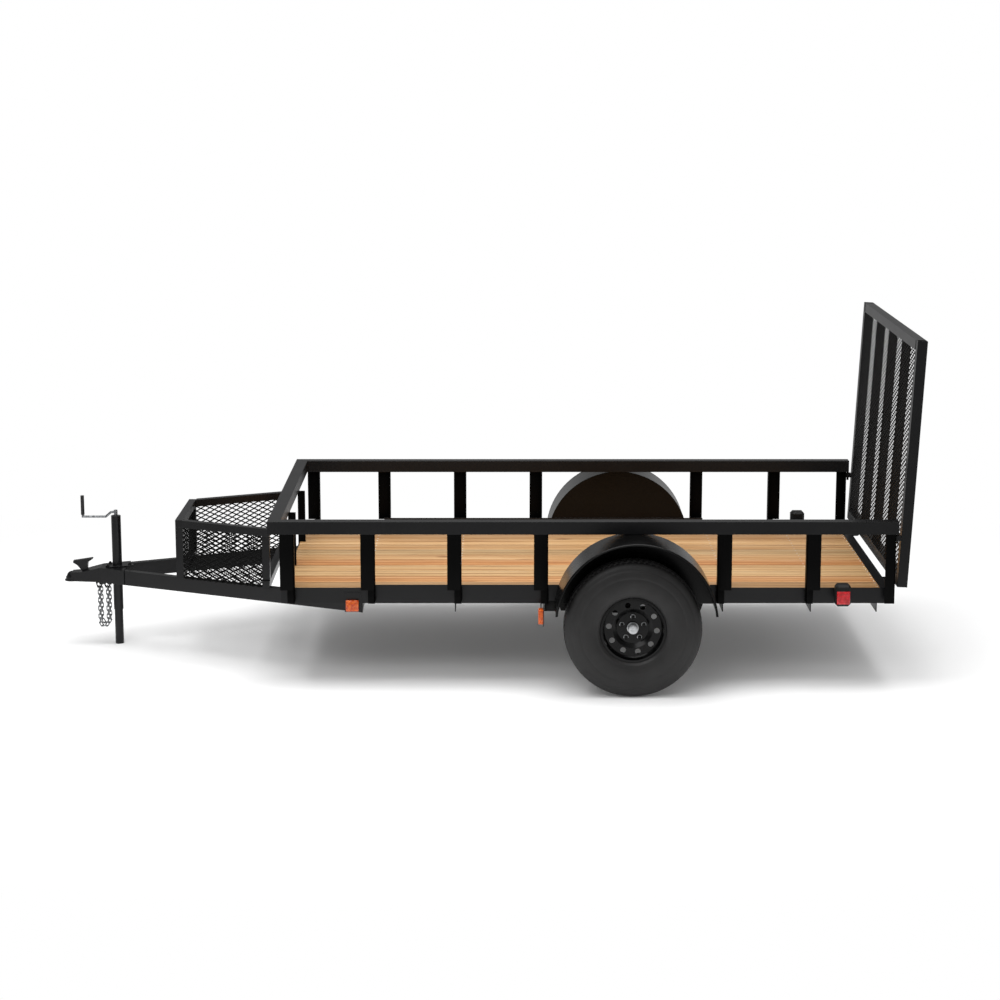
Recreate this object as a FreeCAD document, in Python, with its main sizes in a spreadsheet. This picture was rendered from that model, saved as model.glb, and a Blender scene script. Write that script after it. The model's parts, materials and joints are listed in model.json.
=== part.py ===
"""Single-axle utility trailer with a tongue basket and a mesh tail gate.

Millimetres. The origin is on the floor, on the centreline, halfway between the
coupler's lip and the rearmost corner of the gate. +X points to the rear, +Z up,
and the trailer's left side is at -Y.
"""
import FreeCAD
import Part
import Sketcher
import math
import os
import re

SIZES = {
    # bed frame, from angle steel
    "bed_length": 3060.0,
    "half_width": 885.0,
    "frame_bottom": 422.0,
    "frame_height": 79.0,
    "frame_inset": 50.0,
    "frame_leg": 50.0,
    "side_strip": 15.0,
    "steel": 5.0,
    "sill_inset": 15.0,
    "sill_leg": 45.0,
    "crossmember_height": 97.0,
    "rear_crossmember_back": 75.0,
    # timber deck
    "deck_thick": 38.0,
    "board_count": 13,
    "board_gap": 3.0,
    "board_side_gap": 2.0,
    # side railing
    "rail_top": 847.0,
    "rail_tube": 63.5,
    "rail_wall": 3.0,
    "rail_overhang": 60.0,
    "rail_behind": 12.0,
    "upright_width": 71.0,
    "upright_foot_rise": 9.0,
    "upright_2_share": 0.3178,
    "upright_3_share": 0.6589,
    "upright_ahead": 451.0,
    "upright_behind": 462.0,
    "upright_last": 406.0,
    "rear_post": 50.0,
    "front_upright_y": 295.0,
    "front_upright_depth": 35.0,
    # A-frame tongue
    "tongue_angle": 25.0,
    "tongue_height": 76.0,
    "tongue_width": 38.0,
    "tongue_wall": 4.0,
    "tongue_nose": 1035.0,
    "tongue_nose_half": 53.0,
    "tongue_side_room": 163.0,
    # ball coupler
    "coupler_reach": 1236.0,
    "coupler_wall": 4.0,
    "socket_back": 40.0,
    "socket_radius": 25.6,
    "socket_depth": 20.0,
    "coupler_bottom": 348.0,
    "coupler_lip": 6.0,
    "coupler_lip_thick": 5.0,
    "coupler_tail": 900.0,
    # tongue jack
    "jack_x": 953.0,
    "jack_radius": 25.5,
    "jack_top": 700.0,
    "jack_tube_bottom": 190.0,
    "jack_cap": 10.0,
    "ram_radius": 22.5,
    "ram_length": 480.0,
    "running_fit": 0.08,
    "jack_flange": 6.0,
    "crank_rod": 6.0,
    "crank_reach": 176.0,
    "crank_drop": 26.0,
    "grip_length": 103.0,
    "grip_radius": 9.5,
    # safety chains
    "chain_wire": 4.6,
    "chain_pitch": 22.0,
    "chain_slack": 0.9,
    "chain_inside": 9.0,
    "chain_bend_links": 3,
    "chain_run_links": 9,
    "chain_y": 36.0,
    "chain_x": 1026.0,
    "chain_eye": 9.0,
    "chain_eye_drop": 14.0,
    "chain_seat": 0.7,
    # basket on the tongue
    "basket_front": 598.0,
    "basket_back": 87.0,
    "basket_half": 285.0,
    "basket_top": 733.0,
    "basket_tube": 38.0,
    "basket_wall": 3.0,
    # expanded metal
    "mesh_thick": 3.0,
    "mesh_long": 128.0,
    "mesh_short": 64.0,
    "mesh_strand": 8.0,
    "mesh_margin": 4.0,
    # axle and springs
    "axle_back": 1310.0,
    "wheel_out": 127.0,
    "axle_beam": 50.0,
    "axle_beam_out": 10.0,
    "spindle_radius": 17.5,
    "spindle_shoulder": 24.0,
    "spindle_length": 132.0,
    "spring_in": 40.0,
    "spring_width": 45.0,
    "spring_half": 330.0,
    "spring_leaf": 6.0,
    "spring_leaves": 4,
    "spring_rise": 14.0,
    "spring_eye": 14.0,
    "spring_bolt": 7.0,
    "hanger_plate": 5.0,
    # wheels
    "wheel_radius": 342.5,
    "tyre_half_width": 85.0,
    "rim_flange": 163.0,
    "rim_seat": 151.0,
    "rim_wall": 4.0,
    "rim_half_width": 68.0,
    "bead_gap": 0.3,
    "disc_thick": 5.0,
    "vent_radius": 14.0,
    "vent_circle": 119.0,
    "vent_count": 10,
    "vent_start": 30.5,
    "hub_flange": 68.0,
    "hub_barrel": 36.0,
    "hub_pilot": 32.7,
    "cap_radius": 25.0,
    "cap_reach": 45.0,
    "hub_inner": 95.0,
    # fenders
    "fender_radius": 400.0,
    "fender_shift": 15.0,
    "fender_z": 383.0,
    "fender_steel": 3.0,
    "fender_out": 230.0,
    "fender_roll": 6.0,
    # lamps
    "tail_lamp_back": 315.0,
    "tail_lamp_length": 90.0,
    "tail_lamp_depth": 66.0,
    "tail_lamp_bottom": 430.0,
    "tail_lamp_height": 115.0,
    "marker_x": 324.0,
    "marker_length": 64.0,
    "marker_height": 56.0,
    "marker_depth": 22.0,
    "marker_top": 440.0,
    # tail gate
    "gate_inset": 20.0,
    "gate_height": 1235.0,
    "gate_tube": 50.0,
    "gate_wall": 3.0,
    "gate_lean": 2.83,
    "gate_lift": 29.0,
    "gate_front": 14.0,
    "gate_bar": 32.0,
    "hinge_back": 28.0,
    "hinge_z": 482.0,
    "hinge_in": 265.0,
    "hinge_pin": 8.0,
    "hinge_ear": 6.0,
    "hinge_span": 60.0,
    "hinge_round": 14.0,
    "knuckle_gap": 7.0,
    "latch_z": 748.0,
    "latch_bar": 25.0,
    "latch_gap": 1.0,
}

LEAN = math.radians(SIZES["gate_lean"])
TONGUE_SLOPE = math.tan(math.radians(SIZES["tongue_angle"]))
GATE_BACK = SIZES["gate_tube"] - SIZES["gate_front"]
GATE_TIP = SIZES["gate_lift"] + SIZES["gate_height"]
HINGE_X = SIZES["bed_length"] + SIZES["hinge_back"]
TAIL_REACH = HINGE_X + GATE_BACK * math.cos(LEAN) + GATE_TIP * math.sin(LEAN)
AXLE_X = SIZES["bed_length"] - SIZES["axle_back"]
FIRST_UPRIGHT = SIZES["upright_width"] / 2
UPRIGHT_AHEAD = AXLE_X - SIZES["upright_ahead"]
FRONT_BAYS = UPRIGHT_AHEAD - FIRST_UPRIGHT
GATE_HALF = SIZES["half_width"] - SIZES["gate_inset"]
FRAME_OUT = SIZES["half_width"] - SIZES["frame_inset"]

DERIVED = {
    "bed_front": (SIZES["coupler_reach"] - TAIL_REACH) / 2,
    "frame_top": SIZES["frame_bottom"] + SIZES["frame_height"],
    "deck_bottom": SIZES["frame_bottom"] + SIZES["frame_height"] - SIZES["deck_thick"],
    "rail_bottom": SIZES["rail_top"] - SIZES["rail_tube"],
    "frame_out": FRAME_OUT,
    "frame_in": FRAME_OUT - SIZES["steel"],
    "leg_in": FRAME_OUT - SIZES["frame_leg"],
    "sill_back": SIZES["bed_length"] - SIZES["sill_inset"],
    # uprights and crossmembers, spaced from the ends and from the axle
    "axle_x": AXLE_X,
    "upright_1": FIRST_UPRIGHT,
    "upright_2": FIRST_UPRIGHT + SIZES["upright_2_share"] * FRONT_BAYS,
    "upright_3": FIRST_UPRIGHT + SIZES["upright_3_share"] * FRONT_BAYS,
    "upright_4": UPRIGHT_AHEAD,
    "upright_5": AXLE_X + SIZES["upright_behind"],
    "upright_6": SIZES["bed_length"] - SIZES["upright_last"],
    "tongue_bottom": SIZES["frame_bottom"] - SIZES["tongue_height"],
    "tongue_back": (
        (SIZES["half_width"] - SIZES["tongue_side_room"] - SIZES["tongue_nose_half"]) / TONGUE_SLOPE
        - SIZES["tongue_nose"]
    ),
    "basket_tube_bottom": SIZES["basket_top"] - SIZES["basket_tube"],
    # running gear, set out from the bed's side
    "wheel_y": SIZES["half_width"] + SIZES["wheel_out"],
    "axle_beam_end": SIZES["half_width"] + SIZES["axle_beam_out"],
    "beam_half": SIZES["axle_beam"] / 2,
    "spring_y": FRAME_OUT - SIZES["spring_in"],
    "fender_reach": SIZES["half_width"] + SIZES["fender_out"],
    "tail_lamp_x": SIZES["bed_length"] - SIZES["tail_lamp_back"],
    # gate
    "gate_half": GATE_HALF,
    "gate_bar_y": (GATE_HALF - SIZES["gate_tube"]) / 2,
    "gate_tip": GATE_TIP,
    "hinge_x": HINGE_X,
    "hinge_y": GATE_HALF - SIZES["hinge_in"],
    # chains
    "chain_bend": SIZES["chain_pitch"] / 2 / math.sin(math.pi / 2 / SIZES["chain_bend_links"]),
    "chain_top": (
        SIZES["frame_bottom"] - SIZES["tongue_height"] - SIZES["chain_eye_drop"] - SIZES["chain_eye"]
        + SIZES["chain_seat"] - SIZES["chain_slack"] / 2
    ),
}
VALUES = {**SIZES, **DERIVED}

doc = FreeCAD.newDocument("UtilityTrailer")
sheet = doc.addObject("Spreadsheet::Sheet", "Sizes")
for row, (alias, number) in enumerate(VALUES.items(), start=1):
    sheet.set("A%d" % row, alias)
    sheet.set("B%d" % row, str(number))
    sheet.setAlias("B%d" % row, alias)
doc.recompute()

WORD = re.compile(r"[a-z][a-z_0-9]*")
NODES = []


def formula(text):
    """The text with every size's name turned into a reference to its cell."""
    return WORD.sub(lambda found: "Sizes." + found.group() if found.group() in VALUES else found.group(), str(text))


def bind(thing, prop, text):
    """Ties one property to a formula of the sheet's sizes."""
    thing.setExpression(prop, formula(text))


def move_to(thing, x, y, z):
    """Ties the place of a thing to three formulas."""
    bind(thing, "Placement.Base.x", x)
    bind(thing, "Placement.Base.y", y)
    bind(thing, "Placement.Base.z", z)


def turn(thing, axis, angle):
    """Turns a thing about an axis by a formula in degrees."""
    thing.Placement = FreeCAD.Placement(FreeCAD.Vector(0, 0, 0), FreeCAD.Rotation(FreeCAD.Vector(*axis), 1))
    bind(thing, "Placement.Rotation.Angle", angle)


def block(x, y, z, length, width, height):
    """A box from its low corner and its three sizes."""
    box = doc.addObject("Part::Box", "Block")
    bind(box, "Length", length)
    bind(box, "Width", width)
    bind(box, "Height", height)
    move_to(box, x, y, z)
    return box


def rod(x, y, z, radius, length, axis=(0, 0, 1)):
    """A cylinder from the centre of its start, along an axis."""
    cylinder = doc.addObject("Part::Cylinder", "Rod")
    cylinder.Placement = FreeCAD.Placement(
        FreeCAD.Vector(0, 0, 0), FreeCAD.Rotation(FreeCAD.Vector(0, 0, 1), FreeCAD.Vector(*axis))
    )
    bind(cylinder, "Radius", radius)
    bind(cylinder, "Height", length)
    move_to(cylinder, x, y, z)
    return cylinder


def fuse(*shapes):
    """One solid from several that meet."""
    whole = doc.addObject("Part::MultiFuse", "Fuse")
    whole.Shapes = list(shapes)
    whole.Refine = True
    return whole


def cut(base, *tools):
    """The base less its tools."""
    rest = doc.addObject("Part::Cut", "Cut")
    rest.Base = base
    rest.Tool = tools[0] if len(tools) == 1 else fuse(*tools)
    rest.Refine = True
    return rest


def common(first, second):
    """What two solids share."""
    shared = doc.addObject("Part::MultiCommon", "Common")
    shared.Shapes = [first, second]
    shared.Refine = True
    return shared


def gather(*shapes):
    """Several solids kept apart in one piece."""
    compound = doc.addObject("Part::Compound", "Group")
    compound.Links = list(shapes)
    return compound


def mirrored(source):
    """The same piece on the other side of the centreline."""
    twin = doc.addObject("Part::Mirroring", "Twin")
    twin.Source = source
    twin.Normal = FreeCAD.Vector(0, 1, 0)
    return twin


def node(name, shape):
    """Names a finished sub-part."""
    shape.Label = name
    NODES.append(shape)
    return shape


def both(name, *left):
    """One sub-part of the left pieces and their mirror images."""
    node(name, gather(*left, *[mirrored(piece) for piece in left]))


def pair(name, left):
    """Two sub-parts: the left piece and its mirror image."""
    node(name + "_left", left)
    node(name + "_right", mirrored(left))


def outline(points, upright=False):
    """A closed sketch through points, each tied to formulas. It lies flat, or upright in X and Z."""
    sketch = doc.addObject("Sketcher::SketchObject", "Outline")
    count = len(points)
    guess = []
    for k in range(count):
        turn_k = 2 * math.pi * (k + 0.3) / count
        guess.append((100 * math.cos(turn_k), 100 * math.sin(turn_k)))
    for k in range(count):
        start = FreeCAD.Vector(*guess[k], 0)
        end = FreeCAD.Vector(*guess[(k + 1) % count], 0)
        sketch.addGeometry(Part.LineSegment(start, end), False)
    for k in range(count):
        sketch.addConstraint(Sketcher.Constraint("Coincident", k, 2, (k + 1) % count, 1))
    for k in range(count):
        for kind, value, text, axis in (
            ("DistanceX", guess[k][0], points[k][0], -2),
            ("DistanceY", guess[k][1], points[k][1], -1),
        ):
            if str(text) == "0":
                sketch.addConstraint(Sketcher.Constraint("PointOnObject", k, 1, axis))
            else:
                index = sketch.addConstraint(Sketcher.Constraint(kind, -1, 1, k, 1, value))
                bind(sketch, "Constraints[%d]" % index, text)
    if upright:
        sketch.Placement = FreeCAD.Placement(
            FreeCAD.Vector(0, 0, 0), FreeCAD.Rotation(FreeCAD.Vector(1, 0, 0), 90)
        )
    return sketch


def extruded(points, start, length, upright=False):
    """A prism: a flat outline raised by its length, or an upright one carried along +Y."""
    sketch = outline(points, upright)
    prism = doc.addObject("Part::Extrusion", "Prism")
    prism.Base = sketch
    prism.DirMode = "Custom"
    prism.Dir = FreeCAD.Vector(0, 1, 0) if upright else FreeCAD.Vector(0, 0, 1)
    bind(prism, "LengthFwd", length)
    prism.Solid = True
    bind(sketch, "Placement.Base.y" if upright else "Placement.Base.z", start)
    return prism


def revolved(points):
    """A solid of revolution about Y, from points of radius and Y."""
    solid = doc.addObject("Part::Revolution", "Revolved")
    solid.Source = outline(points)
    solid.Axis = FreeCAD.Vector(0, 1, 0)
    solid.Angle = 360
    solid.Solid = True
    return solid


def tube(x, y, z, length, width, height, wall, along):
    """A box-section tube, hollow along X, Y or Z."""
    outer = block(x, y, z, length, width, height)
    inset = {"x": (0, 1, 1), "y": (1, 0, 1), "z": (1, 1, 0)}[along]
    start = [f"({place}) + {wall} * {k}" for place, k in zip((x, y, z), inset)]
    span = [f"({size}) - 2 * {wall} * {k}" for size, k in zip((length, width, height), inset)]
    return cut(outer, block(*start, *span))


def side_rails():
    """Angle steel down each side of the bed, with a strip on its top edge along the middle bays."""
    outer = block("bed_front", "-frame_out", "frame_bottom", "bed_length", "frame_leg", "frame_height")
    room = block(
        "bed_front", "-frame_in", "frame_bottom + steel", "bed_length", "frame_leg", "frame_height"
    )
    strip = block(
        "bed_front + upright_2", "-frame_out", "frame_top",
        "upright_5 - upright_2 + upright_width / 2", "steel", "side_strip",
    )
    both("side_rails", fuse(cut(outer, room), strip))


def end_rails():
    """The front header and the rear sill, both coped in between the side rails."""
    header = fuse(
        block("bed_front", "-frame_in", "frame_bottom + steel", "steel", "2 * frame_in", "frame_height - steel"),
        block("bed_front", "-leg_in", "frame_bottom", "frame_leg", "2 * leg_in", "steel"),
    )
    node("front_header", header)
    sill_x = "bed_front + sill_back - steel"
    sill = fuse(
        block(sill_x, "-frame_in", "frame_bottom + steel", "steel", "2 * frame_in", "frame_height - steel"),
        block(
            "bed_front + sill_back - sill_leg - steel", "-frame_in", "frame_top - steel",
            "sill_leg + steel", "2 * frame_in", "steel",
        ),
    )
    node("rear_sill", sill)


def crossmembers():
    """Angle steel under the boards. The deep leg is coped to pass between the side rails' lower legs."""
    bars = []
    places = ["tongue_back", "upright_3", "upright_4", "upright_5", "upright_6"]
    for place in places + ["bed_length - rear_crossmember_back"]:
        x = "bed_front + " + place
        low = "deck_bottom - crossmember_height"
        deep = block(
            x, "-leg_in", low, "steel", "2 * leg_in", "frame_bottom + steel - (%s)" % low
        )
        wide = block(
            x, "-frame_in", "frame_bottom + steel", "steel", "2 * frame_in",
            "deck_bottom - frame_bottom - steel",
        )
        top = block(x, "-frame_in", "deck_bottom - steel", "frame_leg", "2 * frame_in", "steel")
        bars.append(fuse(deep, wide, top))
    node("crossmembers", gather(*bars))


def deck():
    """Boards laid lengthwise between the header and the sill."""
    field = "2 * (frame_in - board_side_gap)"
    width = "((%s) - (board_count - 1) * board_gap) / board_count" % field
    boards = []
    for k in range(int(SIZES["board_count"])):
        y = f"board_side_gap - frame_in + {k} * ({width} + board_gap)"
        boards.append(
            block(
                "bed_front + steel", y, "deck_bottom",
                "sill_back - sill_leg - 2 * steel", width, "deck_thick",
            )
        )
    node("deck_boards", gather(*boards))


def railing():
    """Tube top rails on angle uprights, whose deep legs are welded to the outside of the frame."""
    rail = tube(
        "bed_front - rail_overhang", "-half_width", "rail_bottom",
        "bed_length + rail_overhang + rail_behind", "rail_tube", "rail_tube", "rail_wall", "x",
    )
    both("top_rails", rail)
    cross = tube(
        "bed_front - rail_overhang", "rail_tube - half_width", "rail_bottom",
        "rail_tube", "2 * (half_width - rail_tube)", "rail_tube", "rail_wall", "y",
    )
    node("front_top_rail", cross)
    foot = "frame_bottom + upright_foot_rise"
    tall = "rail_bottom - frame_bottom - upright_foot_rise"
    depth = "frame_inset - steel"
    posts = []
    for number in range(1, 7):
        x = "bed_front + upright_%d - upright_width / 2" % number
        face = block(x, "-half_width", foot, "upright_width", "steel", tall)
        leg = block("%s + upright_width - steel" % x, "steel - half_width", foot, "steel", depth, tall)
        posts.append(fuse(face, leg))
    x = "bed_front + bed_length - rear_post"
    face = block(x, "-half_width", foot, "rear_post", "steel", tall)
    leg = block("bed_front + bed_length - steel", "steel - half_width", foot, "steel", depth, tall)
    posts.append(fuse(face, leg))
    both("uprights", *posts)
    fronts = []
    for side in (-1, 1):
        centre = "%d * front_upright_y" % side
        face = block(
            "bed_front - steel", "%s - upright_width / 2" % centre, foot, "steel", "upright_width", tall
        )
        leg = block(
            "bed_front", "%s - upright_width / 2" % centre, "frame_top",
            "front_upright_depth", "steel", "rail_bottom - frame_top",
        )
        fronts.append(fuse(face, leg))
    node("front_uprights", gather(*fronts))


def slanted_tube(half, at_x, x_from, x_to, z, width, height, wall):
    """A tube of the left side that follows the tongue's angle, with its ends cut square to the bed."""
    reach = "((%s) - (%s) + 400) / cos(tongue_angle)" % (x_to, x_from)
    spot = "(%s) - 200" % x_from
    outer = block(0, 0, 0, reach, width, height)
    turn(outer, (0, 0, 1), "-tongue_angle")
    line = "-(%s) - tan(tongue_angle) * ((%s) - (%s))" % (half, spot, at_x)
    move_to(outer, "bed_front + %s" % spot, line, z)
    inner = block(0, 0, 0, reach, "%s - 2 * %s" % (width, wall), "%s - 2 * %s" % (height, wall))
    turn(inner, (0, 0, 1), "-tongue_angle")
    move_to(
        inner, "bed_front + %s + sin(tongue_angle) * %s" % (spot, wall),
        "%s + cos(tongue_angle) * %s" % (line, wall), "%s + %s" % (z, wall),
    )
    window = block(
        "bed_front + %s" % x_from, "-2 * half_width", z,
        "(%s) - (%s)" % (x_to, x_from), "4 * half_width", height,
    )
    return common(cut(outer, inner), window)


def tongue():
    """Two tubes that run in under the header and butt against the first crossmember."""
    beam = slanted_tube(
        "tongue_nose_half", "-tongue_nose", "-tongue_nose", "tongue_back",
        "tongue_bottom", "tongue_width", "tongue_height", "tongue_wall",
    )
    both("tongue_beams", beam)


def coupler():
    """A formed A-frame coupler: a plate over the beams, skirts outside them and a ball socket at the nose."""
    ball = "bed_front - coupler_reach + socket_back"
    nose_half = "socket_back - coupler_lip"
    skirt = "tongue_nose_half + coupler_wall / cos(tongue_angle)"
    slope = "tan(tongue_angle) * (tongue_nose - coupler_tail)"
    tail = "bed_front - coupler_tail"
    neck = "bed_front - tongue_nose"
    plan = extruded(
        [
            (ball, "-(%s)" % nose_half), (neck, "-(%s)" % skirt), (tail, "-(%s) - %s" % (skirt, slope)),
            (tail, "%s + %s" % (skirt, slope)), (neck, skirt), (ball, nose_half),
        ],
        "coupler_bottom", "frame_bottom + 2 * coupler_wall - coupler_bottom",
    )
    side = extruded(
        [
            (ball, "coupler_bottom"), (tail, "coupler_bottom"), (tail, "frame_bottom + coupler_wall"),
            (neck, "frame_bottom + coupler_wall"), ("%s + 45" % ball, "coupler_bottom + 50"),
            (ball, "coupler_bottom + 48"),
        ],
        "-half_width", "2 * half_width", upright=True,
    )
    nose = fuse(
        rod(ball, 0, "coupler_bottom", nose_half, "socket_depth"),
        rod(ball, 0, "coupler_bottom", "socket_back", "coupler_lip_thick"),
        dome(ball, "coupler_bottom + socket_depth", "socket_radius + coupler_wall"),
    )
    hollow_plan = extruded(
        [
            ("%s + 36" % ball, "-(%s) + coupler_wall" % nose_half), (neck, "-tongue_nose_half"),
            ("%s + 10" % tail, "-tongue_nose_half - %s - 10 * tan(tongue_angle)" % slope),
            ("%s + 10" % tail, "tongue_nose_half + %s + 10 * tan(tongue_angle)" % slope),
            (neck, "tongue_nose_half"), ("%s + 36" % ball, "%s - coupler_wall" % nose_half),
        ],
        "coupler_bottom - 10", "frame_bottom - coupler_bottom + 10",
    )
    hollow_side = extruded(
        [
            ("%s + 36" % ball, "coupler_bottom - 10"), ("%s + 10" % tail, "coupler_bottom - 10"),
            ("%s + 10" % tail, "frame_bottom"), (neck, "frame_bottom"),
            ("%s + 46" % ball, "coupler_bottom + 46"), ("%s + 36" % ball, "coupler_bottom + 44"),
        ],
        "-half_width", "2 * half_width", upright=True,
    )
    socket = fuse(
        rod(ball, 0, "coupler_bottom - 10", "socket_radius", "socket_depth + 10"),
        dome(ball, "coupler_bottom + socket_depth", "socket_radius"),
    )
    jack_hole = rod("bed_front - jack_x", 0, "frame_bottom - 10", "jack_radius + 0.3", "40")
    body = cut(fuse(common(plan, side), nose), common(hollow_plan, hollow_side), socket, jack_hole)
    node("coupler_body", body)
    latch_half = 15
    latch = extruded(
        [
            ("%s + 56" % ball, "coupler_bottom + 53"), ("%s + 84" % ball, "coupler_bottom + 59.8"),
            ("%s + 88" % ball, "coupler_bottom + 100"), ("%s + 114" % ball, "coupler_bottom + 118"),
            ("%s + 112" % ball, "coupler_bottom + 123"), ("%s + 9" % ball, "coupler_bottom + 107"),
            ("%s + 9" % ball, "coupler_bottom + 97"), ("%s + 30" % ball, "coupler_bottom + 84"),
        ],
        -latch_half, 2 * latch_half, upright=True,
    )
    node("coupler_latch", latch)


def dome(x, z, radius):
    """The upper half of a ball on the centreline."""
    ball = doc.addObject("Part::Sphere", "Dome")
    bind(ball, "Radius", radius)
    ball.Angle1 = 0
    move_to(ball, x, 0, z)
    return ball


def jack():
    """A screw jack through the coupler's plate: a fixed tube and flange, a sliding ram and a crank on top."""
    x = "bed_front - jack_x"
    plate_z = "frame_bottom + coupler_wall"
    tube_solid = rod(x, 0, "jack_tube_bottom", "jack_radius", "jack_top - jack_tube_bottom")
    flange = extruded(
        [
            ("%s - 58" % x, -34), ("%s - 34" % x, -58), ("%s + 12" % x, -44), ("%s + 86" % x, -16),
            ("%s + 86" % x, 16), ("%s + 12" % x, 44), ("%s - 34" % x, 58), ("%s - 58" % x, 34),
        ],
        plate_z, "jack_flange",
    )
    bore = rod(
        x, 0, "jack_tube_bottom - 10", "ram_radius + running_fit",
        "jack_top - jack_cap - jack_tube_bottom + 10",
    )
    node("jack_tube", cut(fuse(tube_solid, flange), bore))
    node("jack_ram", gather(rod(x, 0, 0, "ram_radius", "ram_length")))
    node("jack_crank", crank())
    grip = rod(
        "%s - crank_reach" % x, 0, "jack_top - crank_rod + 11", "grip_radius", "grip_length"
    )
    node("jack_grip", gather(grip))


def crank():
    """A bent rod: up out of the jack's head, down past its rim, out to the grip and up through it."""
    radius = SIZES["crank_rod"]
    x = DERIVED["bed_front"] - SIZES["jack_x"]
    top = SIZES["jack_top"]
    arm_z = top + 20 - SIZES["crank_drop"]
    end_x = x - SIZES["crank_reach"]
    path = Part.makePolygon(
        [
            FreeCAD.Vector(x + 4, 0, top + 22),
            FreeCAD.Vector(x - SIZES["jack_radius"], 0, top + 18),
            FreeCAD.Vector(x - 2.1 * SIZES["jack_radius"], 0, arm_z),
            FreeCAD.Vector(end_x, 0, arm_z),
            FreeCAD.Vector(end_x, 0, arm_z + 10.5),
        ]
    )
    direction = path.Edges[0].tangentAt(path.Edges[0].FirstParameter)
    ring = Part.Wire(Part.makeCircle(radius, FreeCAD.Vector(x + 4, 0, top + 22), direction))
    arm = path.makePipeShell([ring], True, False, 1)
    head = Part.makeCylinder(1.6 * radius, 30, FreeCAD.Vector(x, 0, top))
    made = doc.addObject("Part::Feature", "Crank")
    made.Shape = arm.fuse(head).removeSplitter()
    return made


def chain_link(centre, along, flat):
    """One link: an eight-sided ring of square wire, lying in the plane square to its flat direction."""
    wire = SIZES["chain_wire"]
    half_long = (SIZES["chain_pitch"] + SIZES["chain_slack"]) / 2
    half_wide = SIZES["chain_inside"] / 2
    across = flat.cross(along)
    loops = []
    for grow in (wire, 0):
        corner = half_wide * 0.4
        a = half_long + grow
        b = half_wide + grow
        c = corner + grow * 0.4
        shape = [(a, b - c), (a - c, b), (c - a, b), (-a, b - c), (-a, c - b), (c - a, -b), (a - c, -b), (a, c - b)]
        points = [centre + along * u + across * v - flat * (wire / 2) for u, v in shape]
        loops.append(Part.makePolygon(points + points[:1]))
    return Part.makeFace(loops, "Part::FaceMakerBullseye").extrude(flat * wire)


def chain_loop(side):
    """Links hung from one eye, round a bend at the bottom and up to the other eye."""
    pitch = SIZES["chain_pitch"]
    middle = DERIVED["bed_front"] - SIZES["chain_x"]
    bend = DERIVED["chain_bend"]
    low = DERIVED["chain_top"] - SIZES["chain_run_links"] * pitch
    joints = [(middle - bend, low + k * pitch) for k in range(SIZES["chain_run_links"], 0, -1)]
    for k in range(SIZES["chain_bend_links"] + 1):
        angle = math.pi * k / SIZES["chain_bend_links"]
        joints.append((middle - bend * math.cos(angle), low - bend * math.sin(angle)))
    joints += [(middle + bend, low + k * pitch) for k in range(1, SIZES["chain_run_links"] + 1)]
    links = []
    for k, (start, end) in enumerate(zip(joints, joints[1:])):
        a = FreeCAD.Vector(start[0], side * SIZES["chain_y"], start[1])
        b = FreeCAD.Vector(end[0], side * SIZES["chain_y"], end[1])
        along = (b - a).normalize()
        flat = FreeCAD.Vector(0, 1, 0)
        if k % 2 == 0:
            flat = along.cross(flat)
        links.append(chain_link((a + b) / 2, along, flat))
    return links


def chains():
    """Two safety chains, and the plates under the tongue that carry them."""
    made = doc.addObject("Part::Feature", "Chains")
    made.Shape = Part.makeCompound(chain_loop(-1) + chain_loop(1))
    node("safety_chains", made)
    plates = []
    left = "bed_front - chain_x - chain_bend"
    right = "bed_front - chain_x + chain_bend"
    eye_z = "tongue_bottom - chain_eye_drop"
    low = "%s - chain_eye - 9" % eye_z
    for side in (-1, 1):
        y = "%d * chain_y - steel / 2" % side
        plate = extruded(
            [
                ("%s - 18" % left, "tongue_bottom"), ("%s - 10" % left, low), ("%s + 10" % left, low),
                ("%s + 20" % left, "tongue_bottom - 7"), ("%s - 20" % right, "tongue_bottom - 7"),
                ("%s - 10" % right, low), ("%s + 10" % right, low), ("%s + 18" % right, "tongue_bottom"),
            ],
            y, "steel", upright=True,
        )
        holes = [
            rod(eye, "%s - 5" % y, eye_z, "chain_eye", "steel + 10", axis=(0, 1, 0)) for eye in (left, right)
        ]
        plates.append(cut(plate, *holes))
    node("chain_plates", gather(*plates))


def mesh_panel(corners, thick):
    """Expanded metal: a sheet with staggered diamonds wherever a whole one fits inside the corners."""
    long_half = SIZES["mesh_long"] / 2
    short_half = SIZES["mesh_short"] / 2
    run = long_half * short_half / math.hypot(long_half, short_half)
    shrink = 1 - SIZES["mesh_strand"] / 2 / run
    edges = list(zip(corners, corners[1:] + corners[:1]))

    def inside(point):
        for (ax, ay), (bx, by) in edges:
            side = (bx - ax) * (point[1] - ay) - (by - ay) * (point[0] - ax)
            if side < SIZES["mesh_margin"] * math.hypot(bx - ax, by - ay):
                return False
        return True

    us = [corner[0] for corner in corners]
    vs = [corner[1] for corner in corners]
    middle_u = (min(us) + max(us)) / 2
    middle_v = (min(vs) + max(vs)) / 2
    across = int((max(us) - min(us)) / long_half) + 2
    down = int((max(vs) - min(vs)) / short_half) + 2
    outer = [FreeCAD.Vector(u, v, 0) for u, v in corners]
    wires = [Part.makePolygon(outer + outer[:1])]
    for i in range(-across, across + 1):
        for j in range(-down, down + 1):
            if (i + j) % 2:
                continue
            u = middle_u + i * long_half
            v = middle_v + j * short_half
            a = long_half * shrink
            b = short_half * shrink
            diamond = [(u + a, v), (u, v + b), (u - a, v), (u, v - b)]
            if all(inside(point) for point in diamond):
                points = [FreeCAD.Vector(p, q, 0) for p, q in diamond]
                wires.append(Part.makePolygon(points + points[:1]))
    return Part.makeFace(wires, "Part::FaceMakerBullseye").extrude(FreeCAD.Vector(0, 0, thick))


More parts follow.
